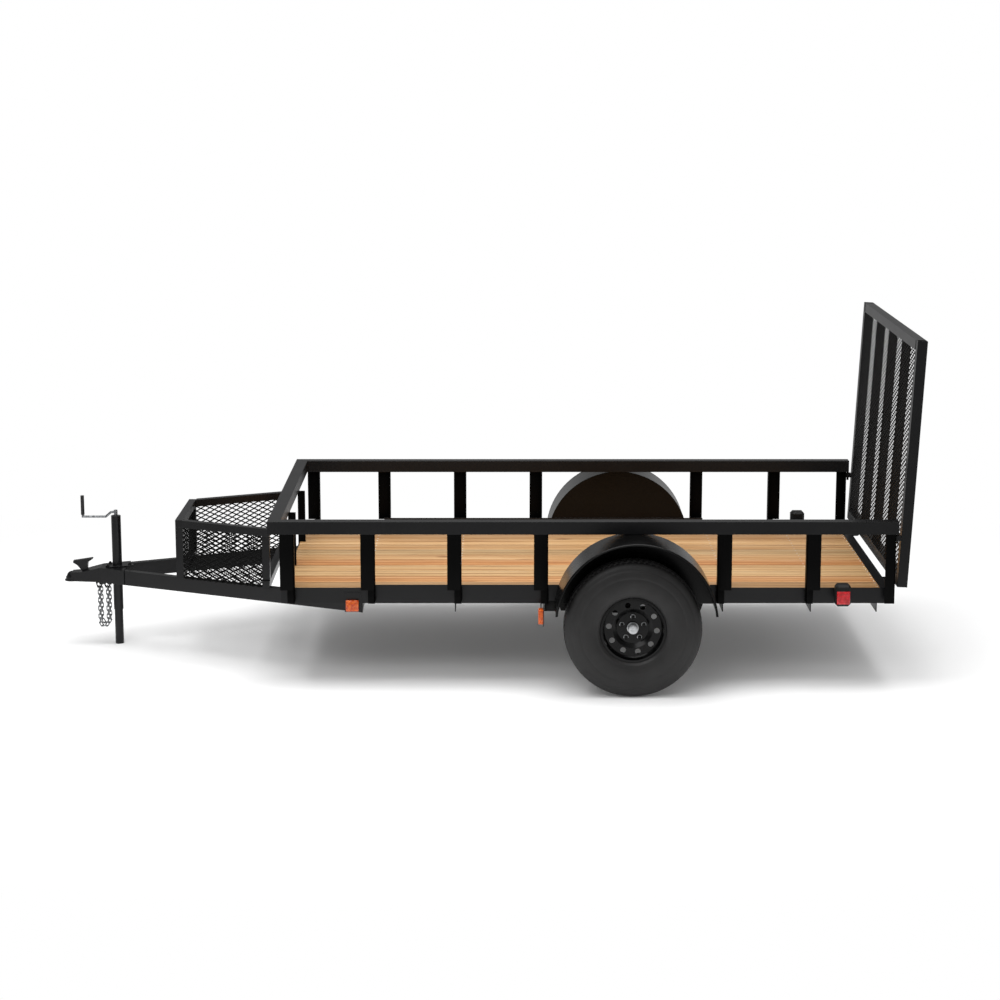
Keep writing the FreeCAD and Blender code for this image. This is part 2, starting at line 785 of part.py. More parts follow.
def basket():
    """A wedge-shaped basket on the tongue: tube rails on posts, closed with expanded metal."""
    rail = slanted_tube(
        "basket_half", "-basket_front", "basket_tube - basket_front", "-basket_back",
        "basket_tube_bottom", "basket_tube", "basket_tube", "basket_wall",
    )
    both("basket_rails", rail)
    front = block(
        "bed_front - basket_front", "-basket_half", "basket_tube_bottom",
        "basket_tube", "2 * basket_half", "basket_tube",
    )
    node("basket_rail_front", front)
    back_half = "(basket_half + tan(tongue_angle) * (basket_front - basket_back))"
    front_x = "bed_front - basket_front"
    back_x = "bed_front - basket_back - basket_tube"
    bars = [
        block(front_x, "-basket_half", "frame_bottom", "basket_tube", "2 * basket_half", "basket_tube"),
        block(back_x, "-%s" % back_half, "frame_bottom", "basket_tube", "2 * %s" % back_half, "basket_tube"),
    ]
    node("basket_cross_bars", gather(*bars))
    foot = "frame_bottom + basket_tube"
    tall = "basket_tube_bottom - frame_bottom - basket_tube"
    posts = []
    for side in (-1, 1):
        inner = "basket_half - basket_tube" if side > 0 else "-basket_half"
        posts.append(tube(front_x, inner, foot, "basket_tube", "basket_tube", tall, "basket_wall", "z"))
        reach = "(%s - tan(tongue_angle) * basket_tube)" % back_half
        inner = "%s - basket_tube" % reach if side > 0 else "-%s" % reach
        posts.append(tube(back_x, inner, foot, "basket_tube", "basket_tube", tall, "basket_wall", "z"))
    node("basket_posts", gather(*posts))
    basket_mesh()


def basket_mesh():
    """The basket's floor, front and two slanting sides."""
    thick = SIZES["mesh_thick"]
    tube_size = SIZES["basket_tube"]
    slope = math.tan(math.radians(SIZES["tongue_angle"]))
    low = SIZES["frame_bottom"]
    high = DERIVED["basket_tube_bottom"]
    x_front = DERIVED["bed_front"] - SIZES["basket_front"] + tube_size
    x_back = DERIVED["bed_front"] - SIZES["basket_back"] - tube_size
    half_front = SIZES["basket_half"] + slope * tube_size
    half_back = half_front + slope * (x_back - x_front)
    floor = mesh_panel(
        [(x_front, -half_front), (x_back, -half_back), (x_back, half_back), (x_front, half_front)], thick
    )
    floor.translate(FreeCAD.Vector(0, 0, low))
    made = doc.addObject("Part::Feature", "FloorMesh")
    made.Shape = floor
    node("basket_mesh_floor", made)
    half = SIZES["basket_half"] - tube_size
    foot = low + tube_size
    panel = mesh_panel([(-half, foot), (half, foot), (half, high), (-half, high)], thick)
    turned = FreeCAD.Placement(
        FreeCAD.Vector(x_front - tube_size / 2 - thick / 2, 0, 0),
        FreeCAD.Rotation(FreeCAD.Vector(0, 1, 0), FreeCAD.Vector(0, 0, 1), FreeCAD.Vector(1, 0, 0), "ZXY"),
    )
    made = doc.addObject("Part::Feature", "FrontMesh")
    made.Shape = panel
    made.Placement = turned
    node("basket_mesh_front", made)
    length = (x_back - x_front) / math.cos(math.radians(SIZES["tongue_angle"]))
    start = thick * slope
    side = mesh_panel(
        [(start, 0), (length - start, 0), (length - start, high - low - thick), (start, high - low - thick)],
        thick,
    )
    angle = math.radians(SIZES["tongue_angle"])
    along = FreeCAD.Vector(math.cos(angle), -math.sin(angle), 0)
    place = FreeCAD.Placement(
        FreeCAD.Vector(x_front, -half_front + tube_size / 2 / math.cos(angle), low + thick),
        FreeCAD.Rotation(along, FreeCAD.Vector(0, 0, 1), along.cross(FreeCAD.Vector(0, 0, 1)), "ZXY"),
    )
    made = doc.addObject("Part::Feature", "SideMesh")
    made.Shape = side
    made.Placement = place
    both("basket_mesh_sides", made)


def axle():
    """A square beam with a turned spindle at each end."""
    x = "bed_front + axle_x"
    beam = block(
        "%s - beam_half" % x, "-axle_beam_end", "wheel_radius - beam_half",
        "axle_beam", "2 * axle_beam_end", "axle_beam",
    )
    ends = []
    for side in (-1, 1):
        start = "%d * axle_beam_end" % side
        ends.append(rod(x, start, "wheel_radius", "spindle_radius", "spindle_length", axis=(0, side, 0)))
        ends.append(rod(x, start, "wheel_radius", "spindle_shoulder", "17", axis=(0, side, 0)))
    node("axle_beam", fuse(beam, *ends))


def leaf_shape(half, number):
    """One leaf: a strip along an arc that rises from the middle to both ends."""
    thick = SIZES["spring_leaf"]
    count = SIZES["spring_leaves"]
    seat = SIZES["wheel_radius"] + DERIVED["beam_half"]
    low = seat + (count - 1 - number) * thick
    rise = SIZES["spring_rise"] * (half / SIZES["spring_half"]) ** 2
    x = DERIVED["bed_front"] + AXLE_X
    under = Part.Arc(
        FreeCAD.Vector(x - half, 0, low + rise), FreeCAD.Vector(x, 0, low), FreeCAD.Vector(x + half, 0, low + rise)
    )
    above = Part.Arc(
        FreeCAD.Vector(x - half, 0, low + rise + thick),
        FreeCAD.Vector(x, 0, low + thick),
        FreeCAD.Vector(x + half, 0, low + rise + thick),
    )
    ends = [
        Part.LineSegment(under.EndPoint, above.EndPoint),
        Part.LineSegment(above.StartPoint, under.StartPoint),
    ]
    wire = Part.Wire(Part.__sortEdges__([under.toShape(), ends[0].toShape(), above.toShape(), ends[1].toShape()]))
    strip = Part.Face(wire).extrude(FreeCAD.Vector(0, SIZES["spring_width"], 0))
    strip.translate(FreeCAD.Vector(0, -DERIVED["spring_y"] - SIZES["spring_width"] / 2, 0))
    return strip


def springs():
    """Leaf springs that sit on the axle, with an eye rolled at each end of the main leaf."""
    leaves = [
        leaf_shape(SIZES["spring_half"] * (1 - 0.22 * number), number)
        for number in range(int(SIZES["spring_leaves"]))
    ]
    pack = leaves[0]
    for leaf in leaves[1:]:
        pack = pack.fuse(leaf)
    seat = SIZES["wheel_radius"] + DERIVED["beam_half"]
    eye_z = seat + SIZES["spring_leaves"] * SIZES["spring_leaf"] + SIZES["spring_rise"] - SIZES["spring_leaf"] / 2
    y = -DERIVED["spring_y"] - SIZES["spring_width"] / 2
    across = FreeCAD.Vector(0, 1, 0)
    for side in (-1, 1):
        x = DERIVED["bed_front"] + AXLE_X + side * SIZES["spring_half"]
        eye = Part.makeCylinder(SIZES["spring_eye"], SIZES["spring_width"], FreeCAD.Vector(x, y, eye_z), across)
        pack = pack.fuse(eye)
    for side in (-1, 1):
        x = DERIVED["bed_front"] + AXLE_X + side * SIZES["spring_half"]
        hole = Part.makeCylinder(
            SIZES["spring_bolt"] + 0.3, SIZES["spring_width"] + 20, FreeCAD.Vector(x, y - 10, eye_z), across
        )
        pack = pack.cut(hole)
    made = doc.addObject("Part::Feature", "Spring")
    made.Shape = pack.removeSplitter()
    both("leaf_springs", made)


def hangers():
    """Plates down from the frame each side of every spring eye, with the bolt through them."""
    eye_z = "wheel_radius + beam_half + spring_leaves * spring_leaf + spring_rise - spring_leaf / 2"
    parts = []
    for side in (-1, 1):
        x = "bed_front + axle_x + %d * spring_half" % side
        plates = []
        for edge in ("-spring_y - spring_width / 2 - hanger_plate - 0.3", "-spring_y + spring_width / 2 + 0.3"):
            plates.append(
                extruded(
                    [
                        ("%s - 34" % x, "frame_bottom"), ("%s - 20" % x, "%s - 22" % eye_z),
                        ("%s + 20" % x, "%s - 22" % eye_z), ("%s + 34" % x, "frame_bottom"),
                    ],
                    edge, "hanger_plate", upright=True,
                )
            )
        bolt = rod(
            x, "-spring_y - spring_width / 2 - hanger_plate - 8", eye_z, "spring_bolt",
            "spring_width + 2 * hanger_plate + 16", axis=(0, 1, 0),
        )
        parts.append(fuse(*plates, bolt))
    both("spring_hangers", *parts)


def spring_clamps():
    """A plate over each spring, a plate under the beam and four rods that draw them together."""
    x = "bed_front + axle_x"
    top = "wheel_radius + beam_half + spring_leaves * spring_leaf"
    low = "wheel_radius - beam_half"
    plate = 8
    over = block(
        "%s - 42" % x, "-spring_y - spring_width / 2 - 16", "%s + 0.3" % top, 84, "spring_width + 32", plate
    )
    under = block(
        "%s - 42" % x, "-spring_y - spring_width / 2 - 16", "%s - %d" % (low, plate), 84, "spring_width + 32", plate
    )
    rods = []
    for dx in (-1, 1):
        for dy in (-1, 1):
            rods.append(
                rod(
                    "%s + %d * (beam_half + 8)" % (x, dx),
                    "-spring_y + %d * (spring_width / 2 + 7)" % dy,
                    "%s - %d" % (low, plate), 5, "%s - (%s) + 3 * %d" % (top, low, plate),
                )
            )
    both("spring_clamps", fuse(over, under, *rods))


def wheel_place(solid):
    """Carries a piece turned about Y from the origin out to the left wheel."""
    placed = gather(solid)
    move_to(placed, "bed_front + axle_x", "-wheel_y", "wheel_radius")
    return placed


def tyre():
    """The tyre: narrow at the beads, bulged at the wall, rounded at the shoulder and flat across the tread."""
    profile = [
        ("rim_seat + rim_wall + bead_gap", "rim_half_width - 9 - bead_gap"),
        ("rim_flange + bead_gap", "rim_half_width - rim_wall - bead_gap"),
        ("rim_flange + 9", "rim_half_width + 7"),
        ("rim_flange + 32", "tyre_half_width - 3"),
        ("rim_flange + 72", "tyre_half_width"),
        ("wheel_radius - 58", "tyre_half_width - 4"),
        ("wheel_radius - 24", "tyre_half_width - 13"),
        ("wheel_radius - 7", "tyre_half_width - 26"),
        ("wheel_radius", "tyre_half_width - 42"),
    ]
    other = [(radius, "-(%s)" % offset) for radius, offset in reversed(profile)]
    pair("tyre", wheel_place(revolved(profile + other)))


def rim():
    """A steel wheel: a rolled barrel and a dished disc with round vents."""
    barrel = revolved(
        [
            ("rim_flange", "rim_half_width"), ("rim_flange", "rim_half_width - rim_wall"),
            ("rim_seat + rim_wall", "rim_half_width - 9"), ("rim_seat", "rim_half_width - 22"),
            ("rim_seat", "22 - rim_half_width"), ("rim_seat + rim_wall", "9 - rim_half_width"),
            ("rim_flange", "rim_wall - rim_half_width"), ("rim_flange", "-rim_half_width"),
            ("rim_seat", "-rim_half_width"), ("rim_seat - rim_wall", "20 - rim_half_width"),
            ("rim_seat - rim_wall", "rim_half_width - 20"), ("rim_seat", "rim_half_width"),
        ]
    )
    disc = revolved(
        [
            ("hub_pilot + 0.3", "-disc_thick"), ("hub_pilot + 0.3", "-2 * disc_thick"), (78, "-2 * disc_thick"),
            (84, "-14"), (100, "-24"), (141, "-26"), ("rim_seat - rim_wall + 1", "-34"),
            ("rim_seat - rim_wall + 1", "-28"), (141, "-21"), (102, "-19"), (87, "-9"), (80, "-disc_thick"),
        ]
    )
    vents = []
    for k in range(int(SIZES["vent_count"])):
        angle = "(%d * 360 / vent_count + vent_start)" % k
        vents.append(
            rod(
                "vent_circle * cos%s" % angle, "-60", "vent_circle * sin%s" % angle,
                "vent_radius", 60, axis=(0, 1, 0),
            )
        )
    pair("rim", wheel_place(cut(fuse(barrel, disc), *vents)))


def hub():
    """The hub that turns on the spindle: a flange behind the disc, a barrel inboard and a dust cap outboard."""
    bore = "spindle_radius + running_fit"
    body = revolved(
        [
            (bore, "hub_inner"), ("hub_barrel", "hub_inner"), ("hub_barrel", "disc_thick"),
            ("hub_flange", "disc_thick"), ("hub_flange", "-disc_thick"), ("hub_pilot", "-disc_thick"),
            ("hub_pilot", "-2 * disc_thick - 2"), ("cap_radius", "-2 * disc_thick - 2"),
            ("cap_radius", "5 - cap_reach"), ("cap_radius - 5", "-cap_reach"), (0, "-cap_reach"),
            (0, "-20"), (bore, "-20"),
        ]
    )
    pair("hub", wheel_place(body))


def fenders():
    """Half-round fenders: a closed inner wall against the frame, a rolled skin and a rod edge outboard."""
    x = "bed_front + axle_x + fender_shift"
    wall_y = "-frame_out"
    depth = "fender_reach - frame_out"
    outer = rod(x, wall_y, "fender_z", "fender_radius", depth, axis=(0, -1, 0))
    inner = rod(
        x, "-frame_out - fender_steel", "fender_z", "fender_radius - fender_steel", depth, axis=(0, -1, 0)
    )
    lip = "fender_radius - fender_roll + 1"
    edge = revolved(
        [
            ("%s - fender_roll" % lip, 0), ("%s - fender_roll / 2" % lip, "fender_roll * 0.87"),
            ("%s + fender_roll / 2" % lip, "fender_roll * 0.87"), ("%s + fender_roll" % lip, 0),
            ("%s + fender_roll / 2" % lip, "-fender_roll * 0.87"),
            ("%s - fender_roll / 2" % lip, "-fender_roll * 0.87"),
        ]
    )
    move_to(edge, x, "-fender_reach + fender_roll / 2", "fender_z")
    keep = block(
        "%s - 2 * fender_radius" % x, "-2 * fender_reach", "fender_z + 37",
        "4 * fender_radius", "2 * fender_reach", "fender_radius * 2",
    )
    both("fenders", common(fuse(cut(outer, inner), edge), keep))


def lamps():
    """Red tail lamps in steel guards, amber markers on small brackets."""
    x = "bed_front + tail_lamp_x"
    guard_y = "-half_width - tail_lamp_depth"
    guard = block(x, guard_y, "tail_lamp_bottom", "tail_lamp_length", "tail_lamp_depth", "tail_lamp_height")
    root = tube(
        "%s + 20" % x, "-half_width", "frame_bottom + 12", "tail_lamp_length - 40", "frame_inset",
        "frame_height - 24", 4, "y",
    )
    pocket = block(
        "%s + 12" % x, "%s - 10" % guard_y, "tail_lamp_bottom + 6",
        "tail_lamp_length", "tail_lamp_depth + 6", "tail_lamp_height - 40",
    )
    both("lamp_guards", cut(fuse(guard, root), pocket))
    lens = block(
        "%s + 12.3" % x, "%s - 5" % guard_y, "tail_lamp_bottom + 6.3",
        "tail_lamp_length - 9", "tail_lamp_depth + 0.7", "tail_lamp_height - 40.6",
    )
    both("tail_lamps", lens)
    marker_x = "bed_front + marker_x"
    low = "marker_top - marker_height"
    side_plate = block(
        "%s - 6" % marker_x, "-frame_out - 3", "%s - 6" % low, "marker_length + 18", "3", "marker_height + 44"
    )
    side_lens = block(
        marker_x, "-frame_out - 3 - marker_depth", low, "marker_length", "marker_depth", "marker_height"
    )
    front_x = "bed_front + upright_4"
    hanging = block(
        "%s + 11" % front_x, "-half_width - 60", "frame_bottom - 94", "3", "110", "94 + upright_foot_rise"
    )
    stem = block("%s + 11" % front_x, "steel - half_width", "frame_bottom", "3", "frame_inset - steel", "60")
    front_plate = fuse(hanging, stem)
    front_lens = block(
        "%s - 14" % front_x, "-half_width - 56", "frame_bottom - 90", "25", "52", "80"
    )
    both("marker_plates", side_plate, front_plate)
    both("marker_lamps", side_lens, front_lens)


def gate_place(*solids):
    """Stands the gate's pieces on the hinge line, leaning back a little."""
    placed = gather(*solids)
    turn(placed, (0, 1, 0), "gate_lean")
    move_to(placed, "bed_front + hinge_x", 0, "hinge_z")
    return placed


def gate():
    """A tube frame with three inner bars, faced with expanded metal, on two hinge knuckles."""
    stiles = []
    for side in (-1, 1):
        y = "gate_half - gate_tube" if side > 0 else "-gate_half"
        stiles.append(
            tube("-gate_front", y, "gate_lift", "gate_tube", "gate_tube", "gate_height", "gate_wall", "z")
        )
    node("gate_stiles", gate_place(*stiles))
    inner_half = "(gate_half - gate_tube)"
    for name, z in (("gate_bottom_bar", "gate_lift"), ("gate_top_bar", "gate_tip - gate_tube")):
        bar = tube(
            "-gate_front", "-%s" % inner_half, z, "gate_tube", "2 * %s" % inner_half, "gate_tube",
            "gate_wall", "y",
        )
        node(name, gate_place(bar))
    skin = "mesh_thick - gate_front + 3"
    bars = []
    for k in (-1, 0, 1):
        bars.append(
            tube(
                skin, "%d * gate_bar_y - gate_bar / 2" % k, "gate_lift + gate_tube",
                "gate_bar", "gate_bar", "gate_height - 2 * gate_tube", "gate_wall", "z",
            )
        )
    node("gate_inner_bars", gate_place(*bars))
    half = GATE_HALF - SIZES["gate_tube"]
    low = SIZES["gate_lift"] + SIZES["gate_tube"]
    high = GATE_TIP - SIZES["gate_tube"]
    panel = doc.addObject("Part::Feature", "GateMesh")
    panel.Shape = mesh_panel([(-half, low), (half, low), (half, high), (-half, high)], SIZES["mesh_thick"])
    panel.Placement = FreeCAD.Placement(
        FreeCAD.Vector(3 - SIZES["gate_front"], 0, 0),
        FreeCAD.Rotation(FreeCAD.Vector(0, 1, 0), FreeCAD.Vector(0, 0, 1), FreeCAD.Vector(1, 0, 0), "ZXY"),
    )
    node("gate_mesh", gate_place(panel))
    knuckle_length = "hinge_span - 2 * knuckle_gap"
    knuckles = []
    for side in (-1, 1):
        y = "%d * hinge_y - (%s) / 2" % (side, knuckle_length)
        barrel = rod(0, y, 0, "hinge_round - 1", knuckle_length, axis=(0, 1, 0))
        lug = block(-6, y, 0, 12, knuckle_length, "gate_lift")
        hole = rod(0, "%s - 5" % y, 0, "hinge_pin + running_fit", "hinge_span", axis=(0, 1, 0))
        knuckles.append(cut(fuse(barrel, lug), hole))
    node("gate_knuckles", gate_place(*knuckles))


def hinges():
    """Two ears behind the sill at each hinge, with the pin through them, and the stops that the gate closes on."""
    parts = []
    reach = "hinge_x - sill_back"
    for side in (-1, 1):
        ears = []
        for edge in ("- hinge_span / 2 - hinge_ear", "+ hinge_span / 2"):
            y = "%d * hinge_y %s" % (side, edge)
            plate = block(
                "bed_front + sill_back", y, "hinge_z - hinge_round", reach, "hinge_ear", "2 * hinge_round"
            )
            ears.append(plate)
            ears.append(rod("bed_front + hinge_x", y, "hinge_z", "hinge_round", "hinge_ear", axis=(0, 1, 0)))
        pin = rod(
            "bed_front + hinge_x", "%d * hinge_y - hinge_span / 2 - hinge_ear - 4" % side, "hinge_z",
            "hinge_pin", "hinge_span + 2 * hinge_ear + 8", axis=(0, 1, 0),
        )
        parts.append(fuse(*ears, pin))
    node("gate_hinges", gather(*parts))
    stop_x = "bed_front + bed_length"
    face = "hinge_x - gate_front + tan(gate_lean) * (latch_z - hinge_z) - bed_length - latch_gap"
    stop = block(stop_x, "-half_width + 15", "latch_z", face, "latch_bar", "latch_bar")
    handle = rod("%s + 11" % stop_x, "-half_width + 27", "latch_z - 16", 6, "latch_bar + 24")
    both("gate_stops", fuse(stop, handle))


side_rails()
end_rails()
crossmembers()
deck()
railing()
tongue()
coupler()
jack()
chains()
basket()
axle()
springs()
hangers()
spring_clamps()
tyre()
rim()
hub()
fenders()
lamps()
gate()
hinges()
doc.recompute()

faults = [thing.Name for thing in doc.Objects if {"Invalid", "Error"} & set(thing.State)]
for piece in NODES:
    if piece.Shape.isNull() or not piece.Shape.isValid() or not piece.Shape.Solids:
        faults.append(piece.Label)
if faults:
    raise RuntimeError("these pieces failed: " + ", ".join(faults))

os.makedirs("parts", exist_ok=True)
for piece in NODES:
    piece.Shape.exportStep(os.path.join("parts", piece.Label + ".step"))
    print("%-24s %3d solids %10.1f cm3" % (piece.Label, len(piece.Shape.Solids), piece.Shape.Volume / 1000))
print(len(NODES), "nodes")
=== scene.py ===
# %% [markdown]
# # A single-axle utility trailer
# The trailer is made of black powder-coated steel: angle and box section, a pine deck,
# expanded metal in the gate and the basket, one axle on leaf springs.
# The measured steel comes from a CAD model, which is loaded first and is never changed.
# Blender adds what a drawing leaves out: the fine mesh, rounded boards, a tyre with tread,
# round chain links, lenses, bolts and weld beads. Every length is in metres.

# %% Load the CAD model
import json
import math

import bmesh
import bpy
from mathutils import Matrix, Vector


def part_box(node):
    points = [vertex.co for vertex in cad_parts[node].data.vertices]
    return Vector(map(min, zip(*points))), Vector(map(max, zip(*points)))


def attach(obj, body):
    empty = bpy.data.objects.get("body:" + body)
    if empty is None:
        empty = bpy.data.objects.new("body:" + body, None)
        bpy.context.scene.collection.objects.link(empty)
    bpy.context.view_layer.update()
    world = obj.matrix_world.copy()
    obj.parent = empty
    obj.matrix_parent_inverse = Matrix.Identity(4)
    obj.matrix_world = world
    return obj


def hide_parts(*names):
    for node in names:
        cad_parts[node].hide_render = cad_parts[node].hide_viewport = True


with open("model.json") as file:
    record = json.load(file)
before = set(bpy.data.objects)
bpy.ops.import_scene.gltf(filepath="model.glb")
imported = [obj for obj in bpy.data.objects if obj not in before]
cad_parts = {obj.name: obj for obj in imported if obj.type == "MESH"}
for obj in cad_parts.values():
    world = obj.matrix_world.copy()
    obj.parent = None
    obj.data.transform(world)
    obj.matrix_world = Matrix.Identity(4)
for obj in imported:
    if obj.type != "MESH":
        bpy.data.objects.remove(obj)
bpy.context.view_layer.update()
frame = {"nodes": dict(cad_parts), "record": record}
nodes = frame["nodes"]
print("CAD nodes:", len(nodes))

# %% [markdown]
# ## The camera
# The camera stands twelve metres off the trailer's left side and three metres up, with a
# short telephoto lens, so that the far rail shows just above the near one. Its place was
# solved from the uprights, the top rails, the bed's ends and the jack's foot on the floor.

# %% Place the camera
bed_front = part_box("front_header")[0].x
CAMERA_PLACE = (bed_front + 1.095, -12.292, 3.204)
LOOK_DOWN = math.radians(11.138)
SENSOR_MM = 36.0
LENS_MM = 84.71

camera_data = bpy.data.cameras.new("camera")
camera_data.sensor_width = SENSOR_MM
camera_data.lens = LENS_MM
camera_data.clip_end = 300.0
camera = bpy.data.objects.new("camera", camera_data)
camera.location = CAMERA_PLACE
camera.rotation_euler = (math.pi / 2 - LOOK_DOWN, 0.0, 0.0)
bpy.context.scene.collection.objects.link(camera)
bpy.context.scene.camera = camera
print("bed front at x =", round(bed_front, 4))

# %% [markdown]
# ## Helpers for materials
# Colours are written as the sRGB hex values that a colour picker shows. Blender's shaders
# work in linear light, so one function turns them over. A second one adds a node, sets it
# and links it in a single line, which keeps each recipe short enough to read.

# %% Colour and node helpers
MM = 0.001


def linear(hex_colour):
    """An sRGB hex colour as linear RGBA."""
    levels = [int(hex_colour[k : k + 2], 16) / 255 for k in (1, 3, 5)]
    return [c / 12.92 if c <= 0.04045 else ((c + 0.055) / 1.055) ** 2.4 for c in levels] + [1.0]


def add(tree, kind, inputs=None, **settings):
    """Adds a node, with its settings, and its inputs as values or as links."""
    node = tree.nodes.new(kind)
    for name, value in settings.items():
        setattr(node, name, value)
    for name, value in (inputs or {}).items():
        if isinstance(value, bpy.types.NodeSocket):
            tree.links.new(value, node.inputs[name])
        else:
            node.inputs[name].default_value = value
    return node


def new_material(name, **shader):
    """A material and its shader, with values set on the shader's own sockets."""
    material = bpy.data.materials.new(name)
    material.use_nodes = True
    tree = material.node_tree
    principled = tree.nodes["Principled BSDF"]
    for socket, value in shader.items():
        principled.inputs[socket.replace("_", " ")].default_value = value
    return material, tree, principled


def ramp(tree, factor, *stops):
    """A colour ramp from pairs of a place and a hex colour."""
    node = add(tree, "ShaderNodeValToRGB", {"Fac": factor})
    band = node.color_ramp
    while len(band.elements) < len(stops):
        band.elements.new(0.5)
    for element, (place, colour) in zip(band.elements, stops):
        element.position = place
        element.color = linear(colour)
    return node.outputs["Color"]


def noise(tree, vector, size, detail=3.0, roughness=0.5):
    """Noise whose grains are about as large as the size, in metres."""
    return add(
        tree, "ShaderNodeTexNoise",
        {"Vector": vector, "Scale": 1 / size, "Detail": detail, "Roughness": roughness},
    ).outputs["Fac"]


def place_of(tree):
    """Object coordinates: metres in the trailer's own frame."""
    return add(tree, "ShaderNodeTexCoord").outputs["Object"]


def stretched(tree, vector, scale):
    """The coordinates, stretched by three factors."""
    return add(tree, "ShaderNodeMapping", {"Vector": vector, "Scale": scale}).outputs["Vector"]


def compute(tree, operation, first, second=0.0):
    """One step of arithmetic on two numbers."""
    return add(tree, "ShaderNodeMath", {0: first, 1: second}, operation=operation).outputs[0]


def shifted(tree, first, second, operation="ADD"):
    """One step of arithmetic on two vectors."""
    return add(tree, "ShaderNodeVectorMath", {0: first, 1: second}, operation=operation).outputs[0]


def spread(tree, value, low, high, start=0.0, end=1.0):
    """A number carried from one range, start to end, to another, low to high."""
    return add(
        tree, "ShaderNodeMapRange",
        {"Value": value, "From Min": start, "From Max": end, "To Min": low, "To Max": high},
    ).outputs["Result"]


def blend(tree, share, first, second):
    """Two numbers mixed by a share."""
    return add(tree, "ShaderNodeMix", {0: share, 2: first, 3: second}, data_type="FLOAT").outputs[0]


def tint(tree, share, first, second):
    """Two colours mixed by a share."""
    return add(tree, "ShaderNodeMix", {0: share, 6: first, 7: second}, data_type="RGBA").outputs[2]


# %% [markdown]
# ## Powder-coated steel
# The whole frame is sprayed with dry black powder and baked. The coat is even and a little
# soft in its gloss. Close up it has an orange-peel surface with bumps some two millimetres
# across. Sprayed edges are round, and they catch the light as a thin pale line, which
# is most of what one sees of black steel. The Bevel node rounds the CAD's sharp edges
# for the light only, by two millimetres. The uprights are duller and nearer to black than the
# rails. That is painted shade: they get a darker copy of the coat that mirrors less.

# %% Powder coat
EDGE_ROUND = 2 * MM
PEEL = 2.2 * MM
PEEL_DEPTH = 0.4 * MM
FILM_PATCH = 240 * MM


def powder_coat(name, dark, pale, gloss, edge=EDGE_ROUND, peel=0.06, specular=0.38):
    """Baked powder: two near blacks in wide soft patches, an orange peel and rounded edges."""
    material, tree, shader = new_material(name, Roughness=gloss, Specular_IOR_Level=specular)
    spot = place_of(tree)
    patches = noise(tree, spot, FILM_PATCH)
    tree.links.new(ramp(tree, patches, (0.3, dark), (0.7, pale)), shader.inputs["Base Color"])
    tree.links.new(spread(tree, patches, gloss - 0.04, gloss + 0.06), shader.inputs["Roughness"])
    rounded = add(tree, "ShaderNodeBevel", {"Radius": edge}, samples=6).outputs["Normal"]
    grain = noise(tree, spot, PEEL, 1.0)
    bump = add(
        tree, "ShaderNodeBump",
        {"Height": grain, "Strength": peel, "Distance": PEEL_DEPTH, "Normal": rounded},
    )
    tree.links.new(bump.outputs["Normal"], shader.inputs["Normal"])
    return material


frame_coat = powder_coat("black_powder_coat", "#08080A", "#0E0E0F", 0.3, specular=0.3)
# painted shade: a darker, duller copy of the frame coat, for the uprights and the gate's bars
shaded_black_coat = powder_coat("black_powder_coat_painted_shade", "#030303", "#060606", 0.45, specular=0.05)
mesh_coat = powder_coat("black_powder_coat_on_mesh", "#050505", "#0A0A0A", 0.6, 0.4 * MM, 0.0, 0.1)
fender_coat = powder_coat("gloss_black_fender_coat", "#030303", "#070707", 0.22, 3 * MM, 0.02, 0.2)
chassis_paint = powder_coat("black_chassis_paint", "#090909", "#131211", 0.5, EDGE_ROUND, 0.1, 0.25)
wheel_enamel = powder_coat("gloss_black_wheel_enamel", "#030303", "#060606", 0.2, 1.2 * MM, 0.02, 0.2)
print("powder coats made")

# %% [markdown]
# ## Pine boards
# The deck is new treated pine, oiled to a honey brown. Each board was sawn from another
# tree, so each has its own tone. The grain runs along the board as streaks some six
# millimetres wide, in broader bands about a metre long, with darker late wood between pale
# early wood, and a few knots. The patterns read the object's coordinates, squeezed along X.
# The underside isn't seen. It is painted a dark grey shade here, so that it throws no warm light down.

# %% Pine
BOARD_COUNT = 13
BOARD_GAP = 3 * MM
STREAK = 6 * MM
BROAD_BAND = 34 * MM
SWAY_LENGTH = 60 * MM
KNOT_SPACING = 260 * MM
PORE = 3 * MM
KNOT_BROWN = "#6B3D18"
UNDERSIDE_SHADE_GREY = "#38332E"
deck_low, deck_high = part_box("deck_boards")
board_step = (deck_high.y - deck_low.y + BOARD_GAP) / BOARD_COUNT


